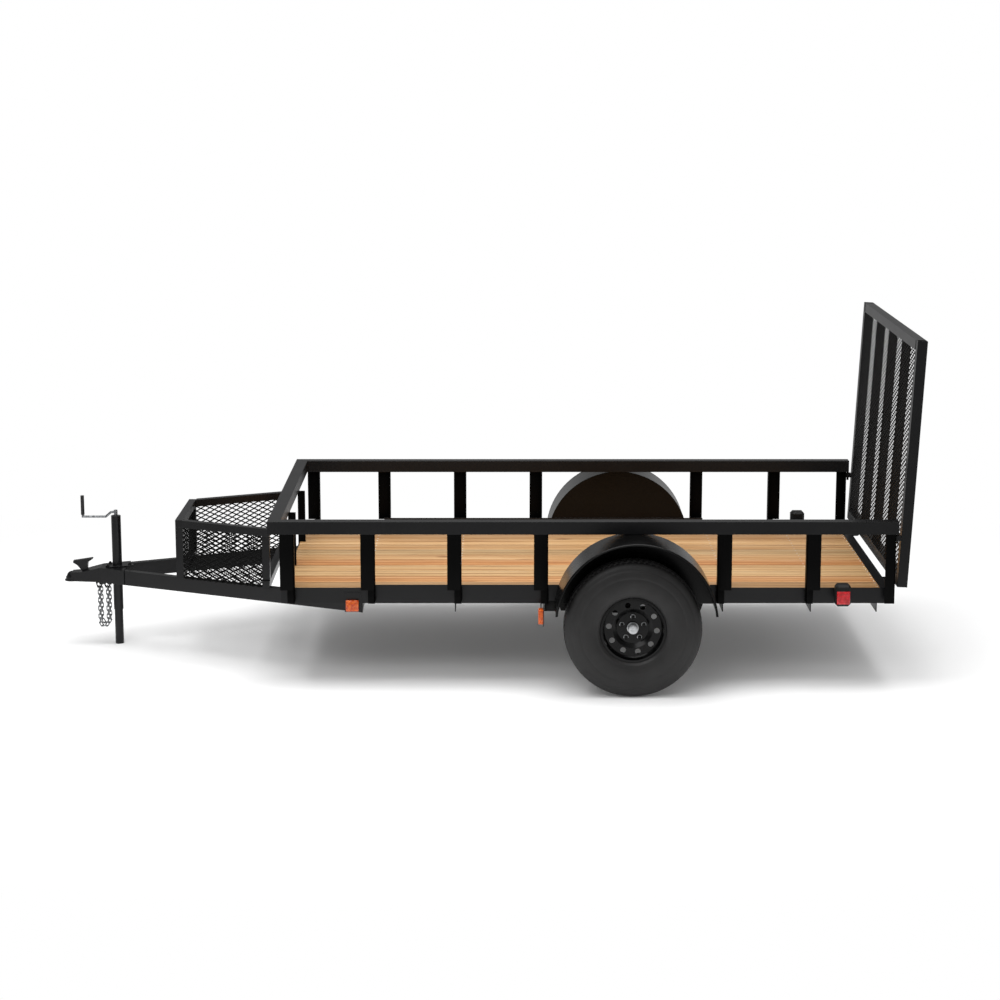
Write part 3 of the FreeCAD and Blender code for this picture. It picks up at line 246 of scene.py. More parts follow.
def pine():
    """Honey-brown pine: board tones, streaky grain, knots, a pore bump and a painted-shade grey underside."""
    material, tree, shader = new_material("oiled_pine", Roughness=0.5, Specular_IOR_Level=0.4)
    spot = place_of(tree)
    across = add(tree, "ShaderNodeSeparateXYZ", {"Vector": spot}).outputs["Y"]
    count = compute(tree, "SUBTRACT", across, deck_low.y - BOARD_GAP / 2)
    count = compute(tree, "FLOOR", compute(tree, "DIVIDE", count, board_step))
    own = add(tree, "ShaderNodeTexWhiteNoise", {"W": count}, noise_dimensions="1D")
    board = shifted(tree, own.outputs["Color"], (7.0, 3.0, 5.0), "MULTIPLY")
    along = shifted(tree, stretched(tree, spot, (0.035, 1.0, 0.6)), board)
    sway = compute(tree, "MULTIPLY", noise(tree, along, SWAY_LENGTH, 2.0), 0.035)
    waved = shifted(tree, along, add(tree, "ShaderNodeCombineXYZ", {"Y": sway}).outputs[0])
    rings = add(
        tree, "ShaderNodeTexWave",
        {"Vector": waved, "Scale": 7.0, "Distortion": 5.0, "Detail": 3.0, "Detail Scale": 1.6},
        bands_direction="Y",
    ).outputs["Fac"]
    streaks = blend(tree, 0.6, rings, noise(tree, waved, STREAK, 4.0, 0.65))
    grain = blend(tree, 0.55, streaks, noise(tree, along, BROAD_BAND, 2.0))
    colour = ramp(
        tree, grain, (0.25, "#7B4F2A"), (0.43, "#A2774A"), (0.58, "#B68F62"), (0.8, "#C9AC84")
    )
    cells = shifted(tree, stretched(tree, spot, (0.45, 1.0, 0.0)), board)
    knots = add(tree, "ShaderNodeTexVoronoi", {"Vector": cells, "Scale": 1 / KNOT_SPACING})
    knotty = spread(tree, knots.outputs["Distance"], 0.85, 0.0, 0.03, 0.11)
    colour = tint(tree, knotty, colour, linear(KNOT_BROWN))
    toned = add(
        tree, "ShaderNodeHueSaturation",
        {
            "Color": colour,
            "Hue": spread(tree, own.outputs["Value"], 0.488, 0.51),
            "Value": spread(tree, noise(tree, board, 0.7, 0.0), 0.8, 1.15, 0.3, 0.7),
            "Saturation": spread(tree, own.outputs["Value"], 1.1, 0.92),
        },
    ).outputs["Color"]
    facing = add(tree, "ShaderNodeNewGeometry").outputs["Normal"]
    facing = add(tree, "ShaderNodeSeparateXYZ", {"Vector": facing}).outputs["Z"]
    # painted shade: faces that point down get a dark grey, so that the boards bounce no warm light onto the
    # floor
    shaded_underside = compute(tree, "LESS_THAN", facing, -0.5)
    tree.links.new(tint(tree, shaded_underside, toned, linear(UNDERSIDE_SHADE_GREY)), shader.inputs["Base Color"])
    flecks = noise(tree, stretched(tree, spot, (0.12, 1.0, 1.0)), PORE, 2.0)
    bump = add(tree, "ShaderNodeBump", {"Height": flecks, "Strength": 0.25, "Distance": 0.5 * MM})
    tree.links.new(bump.outputs["Normal"], shader.inputs["Normal"])
    return material


oiled_pine = pine()

# %% [markdown]
# ## Rubber, zinc, lenses and plastic
# Tyre rubber is nearly black and dull, greyer where it has been handled, and its moulded skin
# shows as a fine grain. Zinc plate is a soft metal: pale, slightly blue, with small
# spangles. On the crank and the chains it has worn and gone grey. The lenses are moulded
# acrylic, clear and coloured right through.

# %% The other finishes
HANDLED_PATCH = 90 * MM
MOULD_GRAIN = 1.6 * MM
SPANGLE = 9 * MM
ERODED_GRAIN = 0.9 * MM


def rubber():
    """Moulded tyre rubber."""
    material, tree, shader = new_material("moulded_tyre_rubber", Roughness=0.5, Specular_IOR_Level=0.42)
    spot = place_of(tree)
    tone = noise(tree, spot, HANDLED_PATCH, 4.0)
    tree.links.new(ramp(tree, tone, (0.3, "#121111"), (0.7, "#1B1A1A")), shader.inputs["Base Color"])
    grain = noise(tree, spot, MOULD_GRAIN)
    bump = add(tree, "ShaderNodeBump", {"Height": grain, "Strength": 0.18, "Distance": 0.4 * MM})
    tree.links.new(bump.outputs["Normal"], shader.inputs["Normal"])
    return material


def zinc(name, dark, pale):
    """Zinc plate on steel, with spangles."""
    material, tree, shader = new_material(name, Metallic=1.0, Roughness=0.3)
    spot = place_of(tree)
    spangle = noise(tree, spot, SPANGLE, 3.0)
    tree.links.new(ramp(tree, spangle, (0.3, dark), (0.7, pale)), shader.inputs["Base Color"])
    tree.links.new(spread(tree, spangle, 0.22, 0.42), shader.inputs["Roughness"])
    return material


def lens(name, deep, bright):
    """Coloured acrylic, moulded, its tone varying at random from deep to bright."""
    material, tree, shader = new_material(
        name, Roughness=0.12, IOR=1.49, Transmission_Weight=0.25, Coat_Weight=0.4, Coat_Roughness=0.05
    )
    tone = noise(tree, place_of(tree), 14 * MM, 1.0)
    tree.links.new(ramp(tree, tone, (0.3, deep), (0.7, bright)), shader.inputs["Base Color"])
    return material


def plastic(name, dark, pale, gloss):
    """Moulded plastic with a fine spark-eroded grain."""
    material, tree, shader = new_material(name, Roughness=gloss)
    spot = place_of(tree)
    tone = noise(tree, spot, 30 * MM)
    tree.links.new(ramp(tree, tone, (0.3, dark), (0.7, pale)), shader.inputs["Base Color"])
    grain = noise(tree, spot, ERODED_GRAIN)
    bump = add(tree, "ShaderNodeBump", {"Height": grain, "Strength": 0.2, "Distance": 0.2 * MM})
    tree.links.new(bump.outputs["Normal"], shader.inputs["Normal"])
    return material


tyre_rubber = rubber()
zinc_plate = zinc("zinc_plate", "#A9ABAD", "#CDCECF")
worn_zinc = zinc("worn_zinc_plate", "#505254", "#A2A4A6")
red_acrylic = lens("red_acrylic", "#B00A12", "#DC1C28")
amber_acrylic = lens("amber_acrylic", "#C84408", "#F07414")
grip_plastic = plastic("black_vinyl_grip", "#0D0D0D", "#161616", 0.5)

# %% [markdown]
# ## Dress the CAD nodes
# Most of the steel shows as the CAD drew it, so it only needs its finish. The table below
# says which finish each record slot gets; a node whose shape is replaced later keeps it too.

# %% Assign finishes by slot
FINISH = {
    "frame_paint": frame_coat,
    "mesh_paint": mesh_coat,
    "running_gear": chassis_paint,
    "deck_wood": oiled_pine,
    "tyre": tyre_rubber,
    "wheel_paint": wheel_enamel,
    "hub_paint": wheel_enamel,
    "fender_paint": fender_coat,
    "zinc": zinc_plate,
    "grip": grip_plastic,
    "red_lens": red_acrylic,
    "amber_lens": amber_acrylic,
}
# the front uprights get the painted-shade coat
OWN_FINISH = {"front_uprights": shaded_black_coat, "jack_crank": worn_zinc}
slot_of = {part["node"]: part["material_slot"] for part in frame["record"]["subparts"]}
for name, node in nodes.items():
    node.data.materials.clear()
    node.data.materials.append(OWN_FINISH.get(name, FINISH[slot_of[name]]))
print("finishes given to", len(nodes), "nodes")

# %% [markdown]
# ## Helpers for new pieces
# Each new piece is a bmesh, written to an object that sits at the origin with its place in its
# vertices. It rides on a CAD body, so it moves with the joint.

# %% Piece helpers


def finish_piece(name, shape, body, material, replaces=(), smooth=math.radians(35)):
    """Writes a bmesh to a new piece that rides on a body."""
    mesh = bpy.data.meshes.new(name)
    shape.to_mesh(mesh)
    shape.free()
    mesh.materials.append(material)
    piece = bpy.data.objects.new(name, mesh)
    bpy.context.scene.collection.objects.link(piece)
    if smooth:
        mesh.shade_smooth()
        mesh.set_sharp_from_angle(angle=smooth)
    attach(piece, body)
    if replaces:
        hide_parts(*replaces)
    print(name, "has", len(mesh.polygons), "faces")
    return piece


def merged(shape, distance=0.01 * MM):
    """Joins doubled vertices and turns all faces outwards."""
    bmesh.ops.remove_doubles(shape, verts=shape.verts, dist=distance)
    bmesh.ops.recalc_face_normals(shape, faces=shape.faces)
    return shape


def add_block(shape, low, high, bevel=0.0, segments=2):
    """A block between two corners, with its edges rounded."""
    low, high = Vector(low), Vector(high)
    size = high - low
    matrix = Matrix.Translation((low + high) / 2) @ Matrix.Diagonal((*size, 1.0))
    made = bmesh.ops.create_cube(shape, size=1.0, matrix=matrix)["verts"]
    if bevel:
        edges = {edge for vert in made for edge in vert.link_edges}
        bmesh.ops.bevel(
            shape, geom=list(edges), offset=bevel, segments=segments, profile=0.5, affect="EDGES", material=-1
        )


def add_sided(shape, hand, xs, ys, zs, bevel=0.0, segments=2):
    """A box on the left for hand -1 or the right for 1, with its Y range measured outwards."""
    inner, outer = sorted((hand * ys[0], hand * ys[1]))
    add_block(shape, (xs[0], inner, zs[0]), (xs[1], outer, zs[1]), bevel, segments)


def add_round(shape, centre, axis, radius, length, sides=24, top=None, bevel=0.0):
    """A bar or cone from the centre of its foot, along an axis, with its rim rounded."""
    turn = Vector((0, 0, 1)).rotation_difference(Vector(axis)).to_matrix().to_4x4()
    matrix = Matrix.Translation(centre) @ turn @ Matrix.Translation((0, 0, length / 2))
    made = bmesh.ops.create_cone(
        shape, cap_ends=True, segments=sides, radius1=radius, radius2=radius if top is None else top,
        depth=length, matrix=matrix,
    )["verts"]
    if bevel:
        rim = {
            edge for vert in made for edge in vert.link_edges
            if any(len(face.verts) == sides for face in edge.link_faces)
        }
        bmesh.ops.bevel(
            shape, geom=list(rim), offset=bevel, segments=2, profile=0.5, affect="EDGES", material=-1
        )


def add_bolt(shape, centre, axis, across=15 * MM, height=8 * MM):
    """A washer, a hexagon nut and the bolt's round end."""
    axis = Vector(axis).normalized()
    washer = 2 * MM
    nut_foot = Vector(centre) + axis * washer
    nut_top = Vector(centre) + axis * (washer + height)
    add_round(shape, centre, axis, 0.75 * across, washer, 20, bevel=0.4 * MM)
    add_round(shape, nut_foot, axis, across / math.sqrt(3), height, 6, bevel=0.8 * MM)
    add_round(shape, nut_top, axis, 0.3 * across, 0.4 * height, 12, bevel=0.5 * MM)


# %% [markdown]
# ## The deck
# Each board is a planed plank with eased edges, laid with a three-millimetre gap. The easing
# is what makes the joints show as soft dark lines from far away.

# %% Boards
EASED = 2 * MM

boards = bmesh.new()
for k in range(BOARD_COUNT):
    near = deck_low.y + k * board_step
    far = near + board_step - BOARD_GAP
    add_block(boards, (deck_low.x, near, deck_low.z), (deck_high.x, far, deck_high.z), EASED)
finish_piece("deck_planks", boards, "chassis", oiled_pine, ["deck_boards"])

# %% [markdown]
# Two self-drilling screws hold each board to each crossmember. Their low round heads sit
# just proud of the wood. A head is a short cone, wide at the foot.

# %% Deck screws
SCREW_ROWS = (0.425, 0.893, 1.324, 2.237, 2.679, 2.988)
SCREW_INSET = 28 * MM
HEAD_FOOT, HEAD_TOP, HEAD_HEIGHT = 4.2 * MM, 2.6 * MM, 1.4 * MM
SUNK = 0.5 * MM
screws = bmesh.new()
for row in SCREW_ROWS:
    for k in range(BOARD_COUNT):
        near = deck_low.y + k * board_step
        for y in (near + SCREW_INSET, near + board_step - BOARD_GAP - SCREW_INSET):
            foot = (bed_front + row, y, deck_high.z - SUNK)
            add_round(screws, foot, (0, 0, 1), HEAD_FOOT, HEAD_HEIGHT, 10, top=HEAD_TOP)
finish_piece("deck_screws", screws, "chassis", zinc_plate, smooth=0)

# %% [markdown]
# ## Expanded metal
# Expanded metal is sheet steel, slit in rows and pulled until the slits open into diamonds.
# Pulling also twists every strand, so each diamond tilts like the slat of a blind. That
# tilt is what glints. One diamond is a four-sided ring whose inner corners are pushed
# out of the sheet, up at the top and down at the bottom. Two arrays repeat a pair of
# rings over the panel, the panel's edges cut them off, and Solidify gives the strands
# their thickness.

# %% One diamond and the panel maker
DIAMOND_LONG = 50.8 * MM
DIAMOND_SHORT = 25.4 * MM
STRAND = 6.4 * MM
TWIST = 1.9 * MM
STRAND_THICK = 2.0 * MM


def diamond_pair():
    """Two neighbouring diamond rings, flat in X and Y, with their inner corners tilted."""
    shape = bmesh.new()
    bmesh.ops.create_circle(shape, cap_ends=True, segments=4, radius=0.5)
    bmesh.ops.scale(shape, vec=(DIAMOND_LONG, DIAMOND_SHORT, 1.0), verts=shape.verts)
    bmesh.ops.inset_region(
        shape, faces=shape.faces[:], thickness=STRAND / 2, use_boundary=True, use_even_offset=True
    )
    hole = min(shape.faces, key=lambda face: face.calc_center_median().length)
    for vert in hole.verts:
        if abs(vert.co.y) > 0.1 * abs(vert.co.x):
            vert.co.z = math.copysign(TWIST, vert.co.y)
    bmesh.ops.delete(shape, geom=[hole], context="FACES")
    twin = bmesh.ops.duplicate(shape, geom=shape.verts[:] + shape.edges[:] + shape.faces[:])["geom"]
    twin = [part for part in twin if isinstance(part, bmesh.types.BMVert)]
    bmesh.ops.translate(shape, vec=(DIAMOND_LONG / 2, DIAMOND_SHORT / 2, 0.0), verts=twin)
    return merged(shape)


def expanded_sheet(corners):
    """Expanded metal cut to a convex outline of (long, short) points, flat in X and Y."""
    xs = [corner[0] for corner in corners]
    ys = [corner[1] for corner in corners]
    pair = diamond_pair()
    start = (min(xs) - DIAMOND_LONG / 2, min(ys) - DIAMOND_SHORT / 2, 0.0)
    bmesh.ops.translate(pair, vec=start, verts=pair.verts)
    mesh = bpy.data.meshes.new("pair")
    pair.to_mesh(mesh)
    pair.free()
    holder = bpy.data.objects.new("pair", mesh)
    bpy.context.scene.collection.objects.link(holder)
    along, up = max(xs) - min(xs), max(ys) - min(ys)
    for step, span in (((DIAMOND_LONG, 0, 0), along), ((0, DIAMOND_SHORT, 0), up)):
        array = holder.modifiers.new("array", "ARRAY")
        array.use_relative_offset = False
        array.use_constant_offset = True
        array.constant_offset_displace = step
        array.count = math.ceil(span / max(step)) + 2
    graph = bpy.context.evaluated_depsgraph_get()
    repeated = bpy.data.meshes.new_from_object(holder.evaluated_get(graph))
    shape = bmesh.new()
    shape.from_mesh(repeated)
    bpy.data.objects.remove(holder)
    bpy.data.meshes.remove(repeated)
    bpy.data.meshes.remove(mesh)
    merged(shape, 0.05 * MM)
    for (ax, ay), (bx, by) in zip(corners, corners[1:] + corners[:1]):
        bmesh.ops.bisect_plane(
            shape, geom=shape.verts[:] + shape.edges[:] + shape.faces[:], dist=1e-6,
            plane_co=(ax, ay, 0.0), plane_no=(by - ay, ax - bx, 0.0), clear_outer=True,
        )
    return shape


def sheet_piece(name, shape, body, replaced):
    """Gives the sheet its thickness and names it."""
    piece = finish_piece(name, shape, body, mesh_coat, replaced, smooth=0)
    solid = piece.modifiers.new("strand", "SOLIDIFY")
    solid.thickness = STRAND_THICK
    solid.offset = 0.0
    return piece


# %% [markdown]
# The gate's sheet stands in the gate's own plane, which leans back by 2.83 degrees on the
# hinge line. It lies in front of the three inner bars, inside the frame.

# %% Gate sheet
HINGE = Vector((bed_front + 3.088, 0.0, 0.482))
GATE_LEAN = math.radians(2.83)
GATE_HALF = 0.815
GATE_LOW = 0.079
GATE_HIGH = 1.214
GATE_PLANE = -0.0115
gate_frame = Matrix.Translation(HINGE) @ Matrix.Rotation(GATE_LEAN, 4, "Y")
# columns: the sheet's long way runs along Y, its short way up, and it faces along X
stand_across = Matrix(((0, 0, 1, 0), (1, 0, 0, 0), (0, 1, 0, 0), (0, 0, 0, 1)))

gate_sheet = expanded_sheet(
    [(-GATE_HALF, GATE_LOW), (GATE_HALF, GATE_LOW), (GATE_HALF, GATE_HIGH), (-GATE_HALF, GATE_HIGH)]
)
gate_level = gate_frame @ Matrix.Translation((GATE_PLANE, 0, 0))
bmesh.ops.transform(gate_sheet, matrix=gate_level @ stand_across, verts=gate_sheet.verts)
sheet_piece("gate_expanded_metal", gate_sheet, "gate", ["gate_mesh"])

# %% [markdown]
# The gate's three inner bars are angle iron. A flange lies flat behind the sheet, which is
# welded to it, and a web stands out as far as the frame's back and stiffens the gate. Seen
# along the gate, the webs cover most of the sheet.

# %% Gate bars
BAR_PLACES = (-0.4075, 0.0, 0.4075)
BAR_HALF = 16 * MM
BAR_STEEL = 4.5 * MM
BAR_FRONT = -0.0078
BAR_BACK = 0.0355
BAR_EASED = 1 * MM

gate_bars = bmesh.new()
for y in BAR_PLACES:
    start = (BAR_FRONT, y - BAR_HALF, GATE_LOW)
    add_block(gate_bars, start, (BAR_FRONT + BAR_STEEL, y + BAR_HALF, GATE_HIGH), BAR_EASED)
    add_block(gate_bars, start, (BAR_BACK, y - BAR_HALF + BAR_STEEL, GATE_HIGH), BAR_EASED)
bmesh.ops.transform(gate_bars, matrix=gate_frame, verts=gate_bars.verts)
# the gate's bars get the painted-shade coat
finish_piece("gate_angle_bars", gate_bars, "gate", shaded_black_coat, ["gate_inner_bars"])

# %% [markdown]
# The basket has a floor, a front and two slanting sides of the same metal. The sides run
# along the tongue's two beams, 25 degrees off the centreline.

# %% Basket sheets
TONGUE_ANGLE = math.radians(25.0)
floor_low, floor_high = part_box("basket_mesh_floor")
front_low, front_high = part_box("basket_mesh_front")
side_low, side_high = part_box("basket_mesh_sides")

narrow = floor_high.y - math.tan(TONGUE_ANGLE) * (floor_high.x - floor_low.x)
floor_sheet = expanded_sheet(
    [
        (-floor_high.y, -floor_high.x), (floor_high.y, -floor_high.x),
        (narrow, -floor_low.x), (-narrow, -floor_low.x),
    ]
)
lie_across = Matrix(((0, -1, 0, 0), (1, 0, 0, 0), (0, 0, 1, 0), (0, 0, 0, 1)))
FLOOR_LIFT = 1.5 * MM
floor_level = Matrix.Translation((0, 0, (floor_low.z + floor_high.z) / 2 + FLOOR_LIFT))
bmesh.ops.transform(floor_sheet, matrix=floor_level @ lie_across, verts=floor_sheet.verts)
sheet_piece("basket_floor_metal", floor_sheet, "chassis", ["basket_mesh_floor"])

front_sheet = expanded_sheet(
    [
        (front_low.y, front_low.z), (front_high.y, front_low.z),
        (front_high.y, front_high.z), (front_low.y, front_high.z),
    ]
)
front_plane = Matrix.Translation(((front_low.x + front_high.x) / 2, 0, 0))
bmesh.ops.transform(front_sheet, matrix=front_plane @ stand_across, verts=front_sheet.verts)
sheet_piece("basket_front_metal", front_sheet, "chassis", ["basket_mesh_front"])

side_sheets = bmesh.new()
side_reach = (side_high.x - side_low.x) / math.cos(TONGUE_ANGLE)
for hand in (-1, 1):
    panel = expanded_sheet(
        [(0.0, side_low.z), (side_reach, side_low.z), (side_reach, side_high.z), (0.0, side_high.z)]
    )
    outer_y = hand * (side_high.y - math.tan(TONGUE_ANGLE) * (side_high.x - side_low.x))
    level = Vector((math.cos(TONGUE_ANGLE), hand * math.sin(TONGUE_ANGLE), 0.0))
    face = level.cross(Vector((0, 0, 1)))
    stand = Matrix(
        (
            (level.x, 0, face.x, side_low.x), (level.y, 0, face.y, outer_y),
            (0, 1, 0, 0), (0, 0, 0, 1),
        )
    )
    bmesh.ops.transform(panel, matrix=stand, verts=panel.verts)
    part = bpy.data.meshes.new("part")
    panel.to_mesh(part)
    panel.free()
    side_sheets.from_mesh(part)
    bpy.data.meshes.remove(part)
sheet_piece("basket_side_metal", side_sheets, "chassis", ["basket_mesh_sides"])

# %% [markdown]
# ## The tyres
# Many trailer tyres are bias-ply: a round shoulder, a wide plain wall with a few rings on
# it, and ribs that run round the tread. Half the section is drawn as points of width and
# radius, mirrored, and spun about the axle. Then the ribs are notched: every third face is
# inset and pushed in, which leaves blocks between.

# %% Tyre section and spin
TYRE_STEPS = 216
HALF_SECTION = [
    # (width from the middle, radius), from the bead out over the wall to the tread, in mm
    (58.7, 155.3), (63.9, 163.3), (71.0, 170.0), (75.5, 176.0), (77.4, 180.0), (77.2, 184.5),
    (79.2, 189.0), (82.6, 203.0), (84.6, 222.0), (85.0, 240.0), (84.2, 258.0), (83.1, 262.0),
    (83.6, 264.0), (82.6, 276.0), (79.6, 292.0), (77.0, 301.0), (75.2, 303.5), (74.6, 309.0),
    (70.6, 320.0), (65.2, 329.0), (58.5, 335.4), (55.0, 337.4), (43.0, 340.6), (41.6, 333.8),
    (36.6, 334.2), (35.2, 341.5), (17.6, 342.2), (16.2, 335.2), (11.2, 335.2), (9.8, 342.5),
]
SHOULDER_RIB = (0.0432, 0.0548)
MIDDLE_RIB = (0.0178, 0.0350)
TREAD_FLOOR = 0.336
NOTCH_EDGE = 1.6 * MM
NOTCH_DEPTH = 5 * MM
axle_x = bed_front + 1.750
HALF_TRACK = 1.012
WHEEL_HEIGHT = 0.3425
wheel_centre = {
    "left": Vector((axle_x, -HALF_TRACK, WHEEL_HEIGHT)),
    "right": Vector((axle_x, HALF_TRACK, WHEEL_HEIGHT)),
}


def tyre_shape(centre):
    """The section spun about the axle, with notched ribs."""
    shape = bmesh.new()
    section = [(width, radius) for width, radius in HALF_SECTION]
    section += [(-width, radius) for width, radius in reversed(HALF_SECTION)]
    verts = [shape.verts.new((0.0, width * MM, -radius * MM)) for width, radius in section]
    edges = [shape.edges.new(pair) for pair in zip(verts, verts[1:] + verts[:1])]
    bmesh.ops.spin(
        shape, geom=verts + edges, cent=(0, 0, 0), axis=(0, 1, 0), angle=2 * math.pi, steps=TYRE_STEPS,
        use_merge=True,
    )
    merged(shape)
    notched = []
    for face in shape.faces:
        middle = face.calc_center_median()
        across = abs(middle.y)
        if math.hypot(middle.x, middle.z) < TREAD_FLOOR:
            continue
        step = round(math.degrees(math.atan2(middle.x, -middle.z)) * TYRE_STEPS / 360 - 0.5)
        if SHOULDER_RIB[0] < across < SHOULDER_RIB[1] and step % 3 == 0:
            notched.append(face)
        if MIDDLE_RIB[0] < across < MIDDLE_RIB[1] and step % 3 == (1 if middle.y > 0 else 2):
            notched.append(face)
    bmesh.ops.inset_individual(shape, faces=notched, thickness=NOTCH_EDGE, use_even_offset=True)
    for face in notched:
        outwards = face.calc_center_median()
        outwards.y = 0.0
        outwards.normalize()
        bmesh.ops.translate(shape, vec=-NOTCH_DEPTH * outwards, verts=face.verts)
    bmesh.ops.translate(shape, vec=centre, verts=shape.verts)
    return shape


for side, centre in wheel_centre.items():
    finish_piece(
        "tyre_%s_moulded" % side, tyre_shape(centre), "wheel_%s" % side, tyre_rubber,
        ["tyre_%s" % side], smooth=math.radians(50),
    )

# %% [markdown]
# ## Wheel furniture
# Five black lug nuts on bright conical seats hold the wheel, and a pressed cap closes the
# hub. Each is a stack of bars and cones along the axle, so a short table of rings says it
# all. The cap's face is kept flat, with its shading split from the rounded rim, so that it
# mirrors the floor as one bright disc.

# %% Lug nuts and dust caps
LUG_CIRCLE = 57 * MM
LUG_COUNT = 5
DISC_FACE = 10 * MM
CAP_FOOT = 12.5 * MM
FLAT_FACES = math.radians(20)
# the height of each ring's foot and its length, its radius there and at its top, in mm,
# how many sides it has, and how far its rim is rounded
LUG_SEAT = (0, 4, 13, 11.5, 24, 0.6)
LUG_NUT = [(4, 12, 10.6, 10.6, 6, 1.2), (16, 4, 8.2, 5.5, 20, 0.8)]
CAP_RINGS = [
    (0, 3, 29, 29, 48, 1.0), (3, 26, 25.6, 25.4, 48, 0), (29, 6, 25.4, 23, 48, 2),
    (35, 1.5, 16, 16, 40, 0.6), (36.5, 1.5, 7, 7, 6, 0.4),
]


def add_rings(shape, foot, axis, rings):
    """A turned shape, built up of bars and cones along an axis."""
    for height, length, radius, top, sides, rim in rings:
        place = foot + axis * height * MM
        add_round(shape, place, axis, radius * MM, length * MM, sides, top * MM, rim * MM)


for side, centre in wheel_centre.items():
    out = -1 if side == "left" else 1
    outwards = Vector((0, out, 0))
    nuts = bmesh.new()
    seats = bmesh.new()
    for k in range(LUG_COUNT):
        angle = math.radians(90 + 72 * k)
        arm = Vector((LUG_CIRCLE * math.cos(angle), out * DISC_FACE, LUG_CIRCLE * math.sin(angle)))
        add_rings(seats, centre + arm, outwards, [LUG_SEAT])
        add_rings(nuts, centre + arm, outwards, LUG_NUT)
    finish_piece("lug_seats_%s" % side, seats, "wheel_%s" % side, zinc_plate)
    finish_piece("lug_nuts_%s" % side, nuts, "wheel_%s" % side, wheel_enamel)

    cap = bmesh.new()
    add_rings(cap, centre + outwards * CAP_FOOT, outwards, CAP_RINGS)
    finish_piece("dust_cap_%s" % side, cap, "wheel_%s" % side, zinc_plate, smooth=FLAT_FACES)

# %% [markdown]
# ## Safety chains
# Each link is a round wire bent to an oval and welded. A circle, the wire's section, is
# spun half a turn, pulled along the straight, and spun back to where it began. The links
# hang from one eye of the plate under the coupler, round a bend, and up to the other, every
# second one turned a quarter, just where the CAD's plainer links hang.

# %% Chain links
WIRE = 6 * MM
PITCH = 22 * MM
LINK_END = 6.8 * MM
LINK_STRAIGHT = 7.65 * MM
CHAIN_RUN = 9
CHAIN_BEND = 3
CHAIN_Y = 36 * MM
CHAIN_X = 1.026
HANG_GAP = 0.45 * MM


def add_link(shape, matrix):
    """One oval link of round wire, in the X and Y plane, then moved by the matrix."""
    section = bmesh.ops.create_circle(
        shape, segments=8, radius=WIRE / 2,
        matrix=Matrix.Translation((LINK_STRAIGHT, -LINK_END, 0)) @ Matrix.Rotation(math.pi / 2, 4, "Y"),
    )["verts"]
    before = set(shape.verts) - set(section)
    ring = section + list({edge for vert in section for edge in vert.link_edges})
    for end in (1, -1):
        turned = bmesh.ops.spin(
            shape, geom=ring, cent=(end * LINK_STRAIGHT, 0, 0), axis=(0, 0, 1), angle=math.pi, steps=8
        )["geom_last"]
        pulled = bmesh.ops.extrude_edge_only(
            shape, edges=[part for part in turned if isinstance(part, bmesh.types.BMEdge)]
        )["geom"]
        moved = [part for part in pulled if isinstance(part, bmesh.types.BMVert)]
        bmesh.ops.translate(shape, vec=(-2 * end * LINK_STRAIGHT, 0, 0), verts=moved)
        ring = moved + [part for part in pulled if isinstance(part, bmesh.types.BMEdge)]
    made = [vert for vert in shape.verts if vert not in before]
    bmesh.ops.remove_doubles(shape, verts=made, dist=0.05 * MM)
    made = [vert for vert in shape.verts if vert not in before]
    bmesh.ops.transform(shape, matrix=matrix, verts=made)


chain_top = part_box("safety_chains")[1].z
bend_radius = PITCH / 2 / math.sin(math.pi / 2 / CHAIN_BEND)
middle_x = bed_front - CHAIN_X
low_z = chain_top - WIRE - HANG_GAP - CHAIN_RUN * PITCH
stops = [(middle_x - bend_radius, low_z + k * PITCH) for k in range(CHAIN_RUN, 0, -1)]
for k in range(CHAIN_BEND + 1):
    angle = math.pi * k / CHAIN_BEND
    stops.append((middle_x - bend_radius * math.cos(angle), low_z - bend_radius * math.sin(angle)))
stops += [(middle_x + bend_radius, low_z + k * PITCH) for k in range(1, CHAIN_RUN + 1)]

links = bmesh.new()
for hand in (-1, 1):
    for k, ((x0, z0), (x1, z1)) in enumerate(zip(stops, stops[1:])):
        along = Vector((x1 - x0, 0, z1 - z0)).normalized()
        flat = Vector((0, 1, 0)) if k % 2 else along.cross(Vector((0, 1, 0)))
        across = flat.cross(along)
        turn = Matrix((along, across, flat)).transposed().to_4x4()
        add_link(links, Matrix.Translation(((x0 + x1) / 2, hand * CHAIN_Y, (z0 + z1) / 2)) @ turn)
bmesh.ops.recalc_face_normals(links, faces=links.faces)
finish_piece(
    "safety_chain_links", links, "chassis", worn_zinc, ["safety_chains"], smooth=math.radians(60)
)

# %% [markdown]
# ## Lamps
# A tail lamp is a moulded red lens with ribs across it that spread the light. A black hood
# with eased corners stands round it. The side markers are smaller and amber.

# %% Tail lamps
UPRIGHT_FACE = 0.885
LENS_ROUND = 3 * MM
LENS_RIM = 5 * MM
LENS_INSET = 4 * MM
RIB_PROUD = 1.2 * MM


def ribbed_lens(shape, hand, xs, ys, zs, ribs):
    """A rounded block with ribs along its outer face."""
    add_sided(shape, hand, xs, ys, zs, LENS_ROUND, 3)
    step = (zs[1] - zs[0] - 2 * LENS_RIM) / ribs
    rib_x = (xs[0] + LENS_INSET, xs[1] - LENS_INSET)
    rib_y = (ys[1] - RIB_PROUD, ys[1] + RIB_PROUD)
    for k in range(ribs):
        z = zs[0] + LENS_RIM + (k + 0.5) * step
        add_sided(shape, hand, rib_x, rib_y, (z - 0.3 * step, z + 0.3 * step), 1 * MM)


